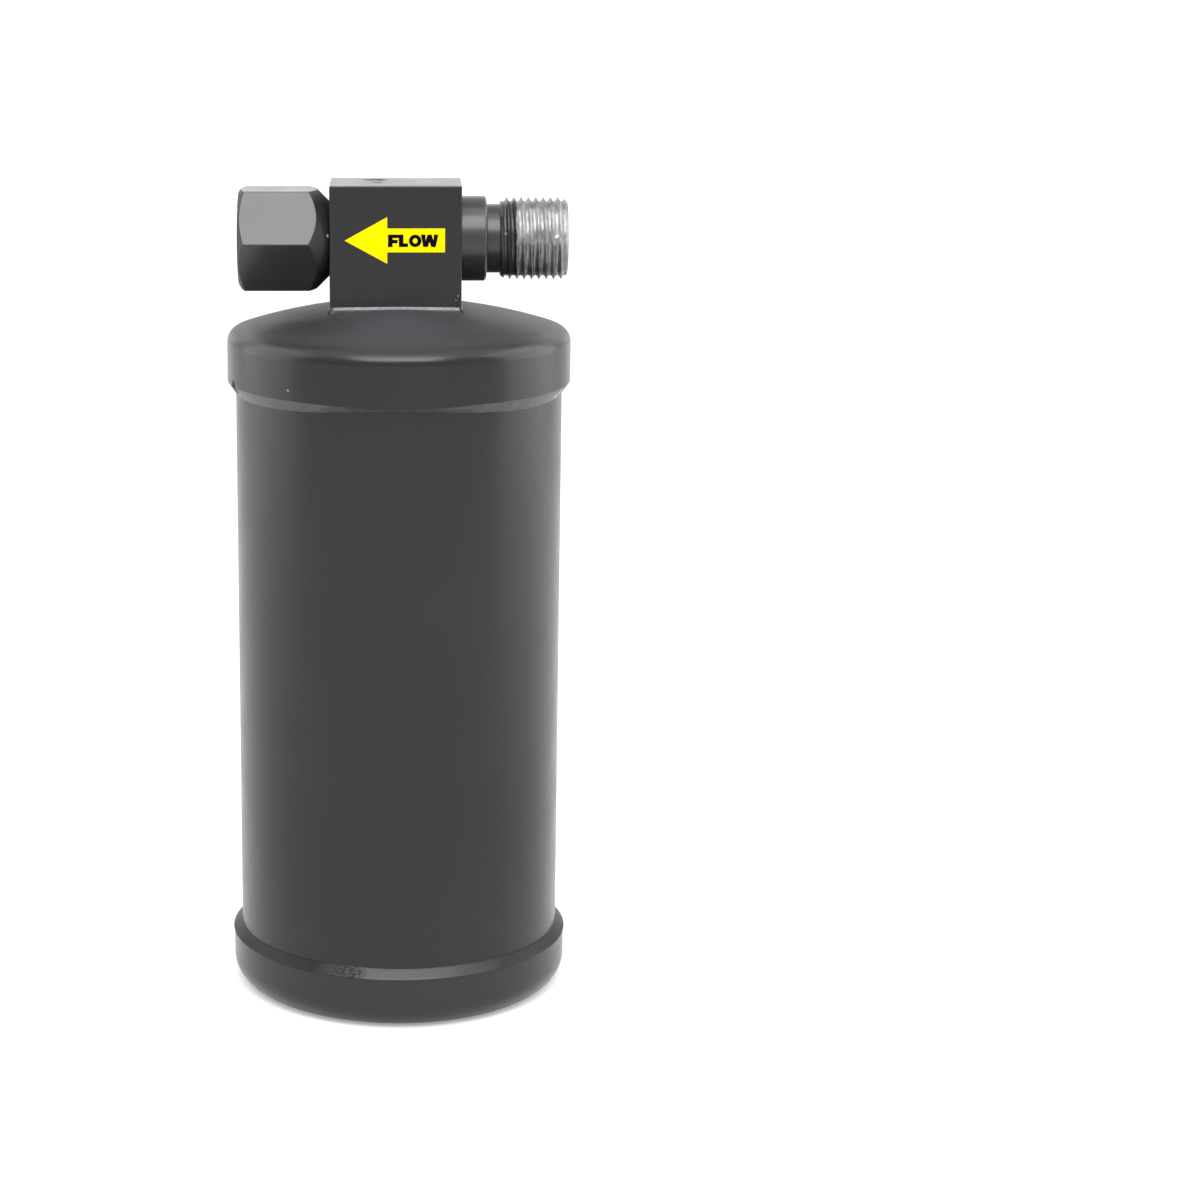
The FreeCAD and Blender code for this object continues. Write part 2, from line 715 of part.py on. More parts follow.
def helix_stretch(pitch, rise, radius, bottom):
    """The edges of one stretch of a helix that starts at this height."""
    stretch = Part.makeHelix(pitch, rise, radius)
    stretch.translate(FreeCAD.Vector(0, 0, bottom))
    return stretch.Edges


def make_compression_spring():
    """A spring between the upper plate and the crown, with a closed, ground turn at each end."""
    height = value_of("size.spring_height")
    wire_radius = value_of("size.spring_wire_dia / 2")
    coil_radius = value_of("size.spring_outer_dia / 2") - wire_radius
    end_rise = 2 * wire_radius * value_of("size.spring_end_pitch")
    open_rise = height - 2 * end_rise
    open_pitch = open_rise / value_of("size.spring_open_turns")
    path = helix_stretch(end_rise, end_rise, coil_radius, 0)
    path += helix_stretch(open_pitch, open_rise, coil_radius, end_rise)
    path += helix_stretch(end_rise, end_rise, coil_radius, height - end_rise)
    corners = []
    for index in range(SPRING_WIRE_SIDES + 1):
        angle = 2 * math.pi * (index + 0.5) / SPRING_WIRE_SIDES
        across = coil_radius + wire_radius * math.cos(angle)
        corners.append(FreeCAD.Vector(across, 0, wire_radius * math.sin(angle)))
    outline = Part.Wire(Part.makePolygon(corners).Edges)
    coil = Part.Wire(path).makePipeShell([outline], True, True)
    width = 4 * coil_radius
    corner = FreeCAD.Vector(-width / 2, -width / 2, -width)
    below = Part.makeBox(width, width, width, corner)
    above = Part.makeBox(width, width, width, corner + FreeCAD.Vector(0, 0, width + height))
    piece = doc.addObject("Part::Feature", "compression_spring")
    piece.Label = "compression_spring"
    piece.Shape = coil.cut(below).cut(above)
    piece.setExpression("Placement.Base.z", "fit.spring_bottom")
    return piece


size_sheet = make_sheet("size", SIZES, False)
fit_sheet = make_sheet("fit", PLACES, True)

pieces = [
    make_body_tube(),
    make_top_cap(),
    make_bottom_cap(),
    make_top_seam_weld(),
    make_bottom_seam_weld(),
    make_header_block(),
    make_header_braze(),
    make_inlet_fitting(),
    make_outlet_nipple(),
    make_outlet_o_ring(),
    make_swivel_nut(),
    make_pickup_tube(),
    make_pickup_strainer(),
    make_lower_support_ring(),
    make_perforated_plate("lower_perforated_plate", "fit.lower_plate_bottom"),
    make_pack_disc("lower_filter_pad", "fit.lower_pad_bottom", "fit.bed_bottom"),
    make_pack_disc("desiccant_bed", "fit.bed_bottom", "fit.bed_top"),
    make_pack_disc("upper_filter_pad", "fit.bed_top", "fit.upper_plate_bottom"),
    make_perforated_plate("upper_perforated_plate", "fit.upper_plate_bottom"),
    make_compression_spring(),
]
doc.recompute()

# Every feature must be sound before a piece is written
for item in doc.Objects:
    if "Invalid" in item.State or "Error" in item.State:
        raise RuntimeError("%s can't be built: %s" % (item.Label, item.State))

os.makedirs("parts", exist_ok=True)
for piece in pieces:
    if piece.Shape.isNull() or not piece.Shape.isValid() or not piece.Shape.Solids:
        raise RuntimeError("%s has no sound solid" % piece.Label)
    piece.Shape.exportStep("parts/%s.step" % piece.Label)
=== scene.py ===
import math

import bmesh
import bpy
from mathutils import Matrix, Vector, noise


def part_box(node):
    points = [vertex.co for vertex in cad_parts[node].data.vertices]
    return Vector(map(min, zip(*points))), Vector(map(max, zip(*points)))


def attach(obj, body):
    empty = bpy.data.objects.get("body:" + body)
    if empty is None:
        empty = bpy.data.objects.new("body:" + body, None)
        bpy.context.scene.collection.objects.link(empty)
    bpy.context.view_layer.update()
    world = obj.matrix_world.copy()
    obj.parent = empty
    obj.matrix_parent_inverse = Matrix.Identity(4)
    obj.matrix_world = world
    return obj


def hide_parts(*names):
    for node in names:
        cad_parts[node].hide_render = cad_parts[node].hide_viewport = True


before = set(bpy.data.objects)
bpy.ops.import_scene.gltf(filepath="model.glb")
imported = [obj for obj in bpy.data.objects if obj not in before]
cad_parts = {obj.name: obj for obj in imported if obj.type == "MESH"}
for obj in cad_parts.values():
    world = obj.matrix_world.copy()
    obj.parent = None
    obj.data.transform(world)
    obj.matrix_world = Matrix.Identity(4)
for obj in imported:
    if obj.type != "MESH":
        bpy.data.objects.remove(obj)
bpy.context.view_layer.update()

# Filter drier: a black-painted steel can with a header block, a swivel nut and a bare inlet thread.
# Metres, +Z up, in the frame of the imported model. The front of the part faces -Y.

MM = 0.001

# Places read from the frame
TUBE_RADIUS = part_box("body_tube")[1].x
CAP_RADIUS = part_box("top_cap")[1].x
TOP_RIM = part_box("top_cap")[0].z
BOTTOM_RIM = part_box("bottom_cap")[1].z
WELD_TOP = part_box("bottom_seam_weld")[1].z
WELD_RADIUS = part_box("bottom_seam_weld")[1].x
BLOCK_LOW, BLOCK_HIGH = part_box("header_block")
FITTING_LOW, FITTING_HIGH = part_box("inlet_fitting")
NUT_LOW, NUT_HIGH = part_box("swivel_nut")
PORT_HEIGHT = (FITTING_LOW.z + FITTING_HIGH.z) / 2

# The crown is part of a sphere that touches the block's foot
CROWN_RADIUS = 102.5 * MM
CROWN_CENTRE = BLOCK_LOW.z - CROWN_RADIUS

# Inlet fitting, from the block outwards
SPIGOT_LENGTH = 2.8 * MM
SPIGOT_RADIUS = 5.8 * MM
COLLAR_RADIUS = 8.15 * MM
COLLAR_LENGTH = 4.8 * MM
COLLAR_EDGE = 0.35 * MM
NECK_RADIUS = 6.6 * MM
NECK_LENGTH = 2.65 * MM
INLET_BORE_RADIUS = 4.0 * MM
PILOT_BORE_RADIUS = 4.96 * MM
PILOT_BORE_DEPTH = 6.6 * MM

# Threads, 18 turns to the inch
THREAD_PITCH = 25.4 / 18 * MM
THREAD_DEPTH = 0.72 * MM
THREAD_RADIUS = 7.85 * MM
THREAD_BEVEL = 0.9 * MM
THREAD_FIRST_CREST = 0.9 * MM
# One turn of the thread as (share of the pitch, share of the depth below the crest)
THREAD_SHAPE = [(0.05, 0.0), (0.14, 0.3), (0.23, 0.62), (0.33, 0.9), (0.44, 1.0),
                (0.60, 1.0), (0.69, 0.9), (0.79, 0.62), (0.88, 0.3), (0.96, 0.0)]
FITTING_COLUMNS = 168
PAINT_END = 22.5 * MM

# Swivel nut
NUT_FLAT = 9.5 * MM
NUT_FACE_RADIUS = 8.85 * MM
NUT_FACE_SLOPE = 0.577
NUT_REAR_RADIUS = 7.15 * MM
NUT_FLOOR = 2.5 * MM
NUT_HOLE_RADIUS = 4.84 * MM
NUT_LAND_RADIUS = 7.2 * MM
NUT_MOUTH_RADIUS = 8.2 * MM
NUT_RELIEF_RADIUS = 8.1 * MM
NUT_RELIEF_LENGTH = 6.2 * MM
NUT_COLUMNS = 144

# Welds
WELD_COLUMNS = 900
WELD_SINK = 0.35 * MM


# Number helpers
def clamp(value, low, high):
    return max(low, min(high, value))


def blend(first, second, share):
    return first + (second - first) * share


def bell(value, centre, width):
    """1 at the centre, falling smoothly to 0 over a few widths."""
    return math.exp(-((value - centre) / width) ** 2)


def shelf(value, low, high, soft):
    """1 from low to high, falling to 0 over a soft edge on both sides."""
    return clamp((value - low) / soft + 1, 0.0, 1.0) * clamp((high - value) / soft + 1, 0.0, 1.0)


def waves(point, size, seed=0.0):
    """Smooth noise from about -1 to 1 with lumps of about the given size."""
    return noise.noise(Vector(point) / size + Vector((seed, seed * 0.7, -seed)))


def crown_height(x, y):
    return CROWN_CENTRE + math.sqrt(CROWN_RADIUS ** 2 - x * x - y * y)


# Mesh helpers
def add_piece(name, mesh, body, materials, replaces=()):
    """Shows a mesh as a piece of the object that rides on a body."""
    piece = bpy.data.objects.new(name, mesh)
    bpy.context.scene.collection.objects.link(piece)
    for material in materials:
        mesh.materials.append(material)
    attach(piece, body)
    if replaces:
        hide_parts(*replaces)
    return piece


def join_columns(bm, columns, closed_round):
    """Faces between neighbouring columns of points. Each column is one closed section.
    Gives each face with the index of the section's step that it spans."""
    grid = [[bm.verts.new(point) for point in column] for column in columns]
    spans = []
    for i in range(len(grid) if closed_round else len(grid) - 1):
        here = grid[i]
        after = grid[(i + 1) % len(grid)]
        for k in range(len(here)):
            up = (k + 1) % len(here)
            spans.append((bm.faces.new((here[k], here[up], after[up], after[k])), k))
    return spans


def finish_mesh(bm, name, sharp_degrees=30.0):
    """Turns all faces outwards and makes a smooth mesh with an edge at each sharper angle."""
    bmesh.ops.recalc_face_normals(bm, faces=bm.faces)
    mesh = bpy.data.meshes.new(name)
    bm.to_mesh(mesh)
    bm.free()
    mesh.shade_smooth()
    mesh.set_sharp_from_angle(angle=math.radians(sharp_degrees))
    return mesh


def weigh_edges(bm, least_degrees, left_out):
    """Gives a bevel weight to each sharp edge between two faces, where neither has the material with
    the index that is left out."""
    weight = bm.edges.layers.float.new("bevel_weight_edge")
    for edge in bm.edges:
        wanted = [face.material_index != left_out for face in edge.link_faces]
        if wanted == [True, True] and edge.calc_face_angle(0.0) > math.radians(least_degrees):
            edge[weight] = 1.0


def round_edges(piece, width, segments):
    """Rounds the edges that carry a bevel weight."""
    modifier = piece.modifiers.new("rounded_edges", "BEVEL")
    modifier.limit_method = "WEIGHT"
    modifier.width = width
    modifier.segments = segments


def around_port(x, radius, angle):
    """A point around the port axis. The angle runs from +Y towards +Z."""
    return Vector((x, radius * math.cos(angle), PORT_HEIGHT + radius * math.sin(angle)))


def thread_rows(start, end, first_crest, columns, column):
    """The places along the axis, and the depth shares, of a right-hand thread in one column. A crest
    starts at first_crest in column 0. Rows beyond the ends are drawn back to them, and welded there
    later."""
    rows = []
    for turn in range(-2, math.ceil((end - start) / THREAD_PITCH) + 2):
        for share, depth in THREAD_SHAPE:
            along = first_crest + (turn + share + column / columns) * THREAD_PITCH
            rows.append((clamp(along, start, end), depth))
    return rows


# Material helpers
class Finish:
    """One material's nodes, built with short calls. Its pattern is fixed to the object's own space."""

    def __init__(self, name):
        self.material = bpy.data.materials.new(name)
        self.material.use_nodes = True
        self.tree = self.material.node_tree
        self.shader = self.tree.nodes["Principled BSDF"]
        self.place = self.add("TexCoord").outputs["Object"]

    def add(self, kind, **settings):
        node = self.tree.nodes.new("ShaderNode" + kind)
        for key, value in settings.items():
            setattr(node, key, value)
        return node

    def feed(self, socket, value):
        """Links a socket to another one, or sets its number."""
        if isinstance(value, bpy.types.NodeSocket):
            self.tree.links.new(value, socket)
        else:
            socket.default_value = value

    def set(self, **values):
        """Feeds the shader's sockets, named with _ for a space."""
        for key, value in values.items():
            self.feed(self.shader.inputs[key.replace("_", " ")], value)

    def math(self, operation, first, second=0.0):
        node = self.add("Math", operation=operation)
        self.feed(node.inputs[0], first)
        self.feed(node.inputs[1], second)
        return node.outputs[0]

    def span(self, value, low, high, to_low=0.0, to_high=1.0):
        """Maps a range of values to another one, held at both ends."""
        node = self.add("MapRange")
        for socket, number in zip(node.inputs, (value, low, high, to_low, to_high)):
            self.feed(socket, number)
        return node.outputs[0]

    def noise(self, size, detail=2.0, stretch=(1.0, 1.0, 1.0)):
        """Soft noise around 0.5 with lumps of about the given size, shorter along a stretched axis."""
        scaled = self.add("Mapping")
        self.feed(scaled.inputs["Vector"], self.place)
        scaled.inputs["Scale"].default_value = stretch
        node = self.add("TexNoise")
        self.feed(node.inputs["Vector"], scaled.outputs[0])
        node.inputs["Scale"].default_value = 1.0 / size
        node.inputs["Detail"].default_value = detail
        return node.outputs[0]

    def cells(self, size, output="Distance"):
        """Packed cells of about the given size: the distance from each middle, or a colour for each."""
        node = self.add("TexVoronoi")
        self.feed(node.inputs["Vector"], self.place)
        node.inputs["Scale"].default_value = 1.0 / size
        return node.outputs[output]

    def mix(self, factor, first, second):
        """A colour between two colours."""
        node = self.add("Mix", data_type="RGBA")
        self.feed(node.inputs[0], factor)
        for socket, value in ((node.inputs[6], first), (node.inputs[7], second)):
            self.feed(socket, value if isinstance(value, bpy.types.NodeSocket) else (*value, 1.0))
        return node.outputs[2]

    def shift(self, factor, first, second):
        """A number between two numbers."""
        node = self.add("Mix", data_type="FLOAT")
        self.feed(node.inputs[0], factor)
        self.feed(node.inputs[2], first)
        self.feed(node.inputs[3], second)
        return node.outputs[0]

    def axis(self, letter):
        """The place along one of the object's own axes, in metres."""
        node = self.add("SeparateXYZ")
        self.feed(node.inputs[0], self.place)
        return node.outputs[letter]

    def spot(self, centre, radius, ragged=0.35, soft=0.2):
        """1 inside an uneven spot around a point, 0 outside it, fading over a share of the radius."""
        node = self.add("VectorMath", operation="DISTANCE")
        self.feed(node.inputs[0], self.place)
        node.inputs[1].default_value = centre
        uneven = self.noise(radius * 0.8, 3.0)
        uneven = self.span(uneven, 0.3, 0.7, -ragged * radius, ragged * radius)
        return self.span(self.math("ADD", node.outputs["Value"], uneven), radius, radius * (1 - soft))

    def most(self, masks):
        """The largest of several masks."""
        total = masks[0]
        for mask in masks[1:]:
            total = self.math("MAXIMUM", total, mask)
        return total

    def bump(self, height, depth, strength):
        node = self.add("Bump")
        self.feed(node.inputs["Height"], height)
        node.inputs["Distance"].default_value = depth
        node.inputs["Strength"].default_value = strength
        self.feed(self.shader.inputs["Normal"], node.outputs[0])


def grey(level):
    return (level, level, level)


# Paint
PAINT_DARK = (0.0040, 0.0040, 0.0044)
PAINT_LIGHT = (0.0078, 0.0078, 0.0084)
PAINT_ROUGH = 0.25
CHIP = (0.42, 0.42, 0.41)
# A mark is (centre, radius, colour, roughness). This one is the rusty notch in the top cap's rim.
RIM_NOTCH = ((-31.7 * MM, -10.4 * MM, TOP_RIM - 0.30 * MM), 1.3 * MM, (0.013, 0.008, 0.006), 0.95)


class Paint(Finish):
    """Satin black paint over steel, with a faint drift of tone, fine dust and a soft orange peel."""

    def __init__(self, name, marks=(), ior=1.43, lift=0.0):
        """Paint with marks on it. A lift makes it that much paler."""
        super().__init__(name)
        drift = self.span(self.noise(26 * MM, 3.0), 0.15, 0.85)
        dust = self.span(self.noise(0.45 * MM, 4.0), 0.72, 0.80)
        self.ior = ior
        self.colour = self.mix(drift, [v + lift for v in PAINT_DARK], [v + lift for v in PAINT_LIGHT])
        self.colour = self.mix(self.math("MULTIPLY", dust, 0.3), self.colour, grey(0.05))
        self.rough = self.span(self.noise(7 * MM, 4.0), 0.15, 0.85,
                               PAINT_ROUGH - 0.05, PAINT_ROUGH + 0.08)
        self.peel = self.noise(0.9 * MM)
        self.dab(marks)

    def cover(self, mask, colour, rough):
        """Lays another colour and roughness over the paint where the mask is 1."""
        self.colour = self.mix(mask, self.colour, colour)
        self.rough = self.shift(mask, self.rough, rough)

    def dab(self, marks):
        """Lays marks over the paint, each as an uneven spot."""
        for centre, radius, colour, rough in marks:
            self.cover(self.spot(centre, radius), colour, rough)

    def done(self, peel_depth=0.006 * MM):
        """Wires the layers up and gives the material."""
        self.set(Base_Color=self.colour, Roughness=self.rough, IOR=self.ior)
        self.bump(self.peel, peel_depth, 0.6)
        return self.material


def plain_paint(name, marks=(), **settings):
    """The can's paint with nothing on it but marks."""
    return Paint(name, marks, **settings).done()


def cap_paint():
    """The top cap's paint. On the crown lies a dry mist of overspray, paler towards the back, where the
    paleness is a painted sheen, and thicker in front of the block, where a bluish tint is painted to
    cancel the label's yellow reflection. A dark patch at the left is a painted shade and reflection of
    the nut."""
    crown_chips = [(6.9 * MM, 10.5 * MM, 0.30 * MM), (16.7 * MM, 12.3 * MM, 0.38 * MM)]
    marks = [((x, y, crown_height(x, y)), radius, CHIP, 0.5) for x, y, radius in crown_chips]
    skirt_fleck = (-20.7 * MM, -26.1 * MM, 124.45 * MM)
    marks.append((skirt_fleck, 0.26 * MM, grey(0.20), 0.5))
    marks.append(RIM_NOTCH)
    finish = Paint("top_cap_paint", marks)
    mist_foot, mist_full = 131.2 * MM, 133.4 * MM
    crown = finish.span(finish.axis("Z"), mist_foot, mist_full)
    mottle = finish.span(finish.noise(5 * MM, 5.0), 0.2, 0.6, 0.75, 1.0)
    finish.cover(finish.math("MULTIPLY", crown, mottle), grey(0.022), 0.55)
    # Painted sheen: the mist is paler towards the back, where the crown is seen at a low angle.
    painted_sheen_start, painted_sheen_full = -14 * MM, 4 * MM
    rear = finish.span(finish.axis("Y"), painted_sheen_start, painted_sheen_full)
    finish.cover(finish.math("MULTIPLY", crown, rear), grey(0.052), 0.55)
    # Painted counter-reflection: a bluish tint in front of the block cancels the label's yellow
    # reflection; the mist there is also rougher.
    counter_reflection_y, counter_reflection_radius = -17.0 * MM, 17.0 * MM
    mist_and_counter_reflection = finish.spot((0.0, counter_reflection_y, crown_height(0.0, counter_reflection_y)), counter_reflection_radius, 0.1, 0.9)
    mist_and_counter_reflection = finish.math("MULTIPLY", finish.math("MULTIPLY", mist_and_counter_reflection, crown), 0.85)
    finish.cover(mist_and_counter_reflection, (0.028, 0.029, 0.039), 0.80)
    # Painted shade and reflection of the nut: dark patches on the crown left of the block.
    painted_nut_shades = ((-16.5 * MM, -16.5 * MM, 8.5 * MM), (-20.5 * MM, -14.5 * MM, 6.0 * MM))
    for x, y, radius in painted_nut_shades:
        painted_nut_shade = finish.spot((x, y, crown_height(x, y)), radius, 0.3, 0.95)
        finish.cover(finish.math("MULTIPLY", painted_nut_shade, 0.8), grey(0.006), 0.75)
    return finish.done()


def block_paint():
    """The block's paint, with the printed IN mark, dull smudges and small chips."""
    top = BLOCK_HIGH.z
    top_chip = ((-4.3 * MM, 2.7 * MM, top), 0.30 * MM, CHIP, 0.5)
    scuff = ((-4.2 * MM, -0.8 * MM, top), 1.0 * MM, (0.022, 0.021, 0.021), 0.5)
    front_chips = [((11.3 * MM, BLOCK_LOW.y, 139.7 * MM), 0.22 * MM, grey(0.14), 0.5),
                   ((10.9 * MM, BLOCK_LOW.y, 138.9 * MM), 0.16 * MM, grey(0.14), 0.5)]
    finish = Paint("header_block_paint", [top_chip, scuff, *front_chips])
    smudge_y, smudge_radius = 4.0 * MM, 1.6 * MM
    for smudge_x in (-5.3 * MM, -3.6 * MM):
        smudge = finish.spot((smudge_x, smudge_y, top), smudge_radius, 0.4, 0.6)
        finish.cover(smudge, (0.022, 0.018, 0.018), 0.9)
    wobble = finish.span(finish.noise(0.35 * MM, 3.0), 0.3, 0.7, -0.05 * MM, 0.05 * MM)
    x = finish.math("ADD", finish.axis("X"), wobble)
    y = finish.math("ADD", finish.axis("Y"), wobble)

    def stroke(across, centre, half_width):
        """1 within half a width of a line, with a crisp edge."""
        distance = finish.math("ABSOLUTE", finish.math("SUBTRACT", across, centre))
        return finish.span(distance, half_width, half_width - 0.03 * MM)

    letter_top, letter_foot = 3.3 * MM, 8.6 * MM
    letter_middle = (letter_top + letter_foot) / 2
    # I, then the two posts of the N and the slanted stroke between them
    post_half, slant_half = 0.38 * MM, 0.52 * MM
    n_middle, n_half = 1.15 * MM, 1.75 * MM
    slope = 0.49
    slanted = finish.math("SUBTRACT", y, finish.math("MULTIPLY", x, slope))
    letters = finish.most([
        stroke(y, -1.9 * MM, 0.50 * MM),
        stroke(y, -0.22 * MM, post_half),
        stroke(y, 2.52 * MM, post_half),
        finish.math("MULTIPLY", stroke(slanted, n_middle - slope * letter_middle, slant_half),
                    stroke(y, n_middle, n_half)),
    ])
    inside = stroke(x, letter_middle, (letter_foot - letter_top) / 2)
    on_top = finish.span(finish.axis("Z"), top - 0.3 * MM, top - 0.2 * MM)
    worn = finish.span(finish.noise(0.5 * MM, 4.0), 0.28, 0.40, 0.35, 1.0)
    ink = finish.math("MULTIPLY", finish.math("MULTIPLY", letters, inside), on_top)
    finish.cover(finish.math("MULTIPLY", ink, worn), grey(0.31), 1.0)
    return finish.done()


# Paint over the welds
WELD_PEEL = 0.012 * MM


def spattered_paint(name, tone, rough, **settings):
    """Paint over a weld bead, a little rougher and more uneven than on plain sheet."""
    finish = Paint(name, **settings)
    spatter = finish.span(finish.noise(1.4 * MM, 4.0), 0.35, 0.65, 0.6, 1.0)
    finish.cover(spatter, tone, rough)
    return finish


def weld_paint(name, tone, rough, marks=()):
    """The paint of a bead that looks the same all along, but for marks."""
    finish = spattered_paint(name, tone, rough)
    finish.dab(marks)
    return finish.done(WELD_PEEL)


def bottom_weld_paint():
    """The bottom bead's paint, painted paler along the front as a highlight, with flecks where the
    weld's ends meet.
    """
    finish = spattered_paint("bottom_weld_paint", grey(0.007), 0.42, ior=1.27)
    # Painted highlight: the bead is paler along the front and keeps its dark tone to the sides.
    painted_highlight_centre = (2.5 * MM, -33 * MM, WELD_TOP)
    painted_front_highlight = finish.spot(painted_highlight_centre, 20 * MM, 0.06, 0.6)
    finish.cover(painted_front_highlight, grey(0.068), 0.28)
    scar_centre = (-10.6 * MM, -31.2 * MM, WELD_TOP)
    scar = finish.spot(scar_centre, 4.2 * MM, 0.3, 0.6)
    flecks = finish.span(finish.noise(0.5 * MM, 4.0), 0.42, 0.56)
    finish.cover(finish.math("MULTIPLY", scar, flecks), grey(0.012), 0.55)
    return finish.done(WELD_PEEL)


# Bare metal and the other materials
def turned_steel(name, colour, dark, rough):
    """Turned steel with fine rings around the port axis and dull patches."""
    finish = Finish(name)
    patches = finish.span(finish.noise(2.6 * MM, 4.0), 0.35, 0.65)
    rings = finish.noise(1.0 * MM, 2.0, (10.0, 0.25, 0.25))
    finish.set(Base_Color=finish.mix(patches, colour, dark), Metallic=1.0,
               Roughness=finish.span(patches, 0.0, 1.0, rough, rough + 0.18))
    finish.bump(rings, 0.012 * MM, 0.7)
    return finish.material


def nut_turned_paint(marks):
    """The dull paint on the nut's turned ends, where the tool's rings show through."""
    finish = Paint("nut_turned_paint", lift=0.008)
    rings = finish.noise(1.0 * MM, 2.0, (9.0, 0.3, 0.3))
    finish.cover(finish.span(rings, 0.35, 0.65, 0.8, 1.0), grey(0.014), 0.62)
    finish.dab(marks)
    return finish.done(0.014 * MM)


def fitting_finish():
    """Black paint up to the thread's second turn, and bare worn steel beyond and inside."""
    flecks = [((20.4 * MM, -7.0 * MM, 151.5 * MM), 0.34 * MM, grey(0.13), 0.6),
              ((20.2 * MM, -6.9 * MM, 150.2 * MM), 0.26 * MM, grey(0.11), 0.6),
              ((21.9 * MM, -7.3 * MM, 153.0 * MM), 0.20 * MM, grey(0.13), 0.6),
              ((22.1 * MM, -7.5 * MM, 147.6 * MM), 0.20 * MM, grey(0.11), 0.6)]
    finish = Paint("inlet_fitting_paint_and_steel", flecks, ior=1.48, lift=0.016)
    x = finish.axis("X")
    ragged = finish.span(finish.noise(1.6 * MM, 4.0), 0.3, 0.7, -0.20 * MM, 0.20 * MM)
    beyond = finish.span(finish.math("ADD", x, ragged), PAINT_END - 0.05 * MM, PAINT_END + 0.10 * MM)
    up = finish.math("SUBTRACT", finish.axis("Z"), PORT_HEIGHT)
    across = finish.axis("Y")
    radius = finish.math("SQRT", finish.math("ADD", finish.math("MULTIPLY", up, up),
                                             finish.math("MULTIPLY", across, across)))
    inside = finish.span(radius, PILOT_BORE_RADIUS + 0.35 * MM, PILOT_BORE_RADIUS + 0.25 * MM)
    bare = finish.most([beyond, inside])
    # Painted shade: the thread's roots are darker, more so on the lower side.
    root = finish.span(radius, THREAD_RADIUS - 0.15 * MM, THREAD_RADIUS - 0.60 * MM)
    low = finish.span(up, 1.0 * MM, -2.0 * MM, 0.10, 0.30)
    smear = finish.span(finish.noise(2.2 * MM, 5.0, (1.3, 1.0, 1.0)), 0.40, 0.62)
    steel = finish.mix(smear, grey(0.17), grey(0.27))
    steel = finish.mix(finish.math("MULTIPLY", root, low), steel, grey(0.12))
    grime = finish.span(finish.noise(0.7 * MM, 5.0), 0.62, 0.74)
    steel = finish.mix(finish.math("MULTIPLY", grime, 0.7), steel, grey(0.06))
    finish.cover(bare, steel, finish.span(smear, 0.0, 1.0, 0.34, 0.48))
    torn_places = [((30.1 * MM, -7.4 * MM, 151.0 * MM), 0.34 * MM),
                   ((30.9 * MM, -7.3 * MM, 150.4 * MM), 0.32 * MM),
                   ((31.6 * MM, -7.0 * MM, 151.3 * MM), 0.26 * MM)]
    torn = finish.most([finish.spot(centre, radius, 0.9) for centre, radius in torn_places])
    finish.cover(torn, grey(0.60), 0.6)
    scratches = finish.noise(0.7 * MM, 5.0, (1.0, 1.0, 3.0))
    turning_rings = finish.noise(1.0 * MM, 2.0, (5.0, 0.2, 0.2))
    finish.peel = finish.shift(bare, turning_rings, scratches)
    finish.set(Metallic=finish.math("MULTIPLY", bare, 0.9))
    return finish.done(0.020 * MM)


def zinc(name):
    """Dull zinc plate with a faint spangle."""
    finish = Finish(name)
    spangle = finish.cells(3.5 * MM, "Color")
    tone = finish.span(finish.noise(6 * MM, 4.0), 0.3, 0.7)
    level = finish.mix(tone, (0.50, 0.51, 0.52), (0.62, 0.62, 0.60))
    finish.set(Base_Color=finish.mix(0.08, level, spangle), Metallic=1.0,
               Roughness=finish.span(tone, 0.0, 1.0, 0.38, 0.52))
    finish.bump(finish.noise(0.5 * MM, 3.0), 0.010 * MM, 0.5)
    return finish.material


def spring_steel():
    """Oil-darkened spring wire with draw lines."""
    finish = Finish("spring_steel")
    tone = finish.span(finish.noise(4 * MM, 4.0), 0.3, 0.7)
    finish.set(Base_Color=finish.mix(tone, (0.20, 0.19, 0.18), (0.33, 0.32, 0.31)), Metallic=1.0,
               Roughness=finish.span(tone, 0.0, 1.0, 0.30, 0.45))
    finish.bump(finish.noise(0.3 * MM, 3.0, (0.4, 0.4, 3.0)), 0.012 * MM, 0.6)
    return finish.material


def felt():
    """Pale pressed felt with loose fibres."""
    finish = Finish("filter_felt")
    fibres = finish.noise(0.5 * MM, 6.0, (1.0, 3.0, 1.0))
    clumps = finish.span(finish.noise(3 * MM, 4.0), 0.3, 0.7)
    finish.set(Base_Color=finish.mix(clumps, (0.70, 0.67, 0.60), (0.80, 0.78, 0.72)), Roughness=0.95)
    finish.shader.inputs["Sheen Weight"].default_value = 0.3
    finish.bump(fibres, 0.25 * MM, 0.9)
    return finish.material


def beads():
    """Packed drying beads, each of its own tint."""
    finish = Finish("desiccant_beads")
    size = 2.2 * MM
    tint = finish.cells(size, "Color")
    shade = finish.mix(0.10, (0.66, 0.58, 0.46), tint)
    # Painted shade: the gaps between the beads are darker.
    gap = finish.span(finish.cells(size), 0.35, 0.75)
    finish.set(Base_Color=finish.mix(gap, shade, (0.22, 0.18, 0.14)), Roughness=0.8)
    finish.bump(finish.math("SUBTRACT", 1.0, gap), 0.5 * MM, 0.9)
    return finish.material


def rubber():
    """Dark green seal rubber with a faint moulding bloom."""
    finish = Finish("seal_rubber")
    bloom = finish.span(finish.noise(0.6 * MM, 4.0), 0.45, 0.75)
    finish.set(Base_Color=finish.mix(bloom, (0.006, 0.020, 0.012), (0.020, 0.040, 0.030)),
               Roughness=finish.span(bloom, 0.0, 1.0, 0.42, 0.60))
    finish.bump(finish.noise(0.15 * MM), 0.004 * MM, 0.5)
    return finish.material


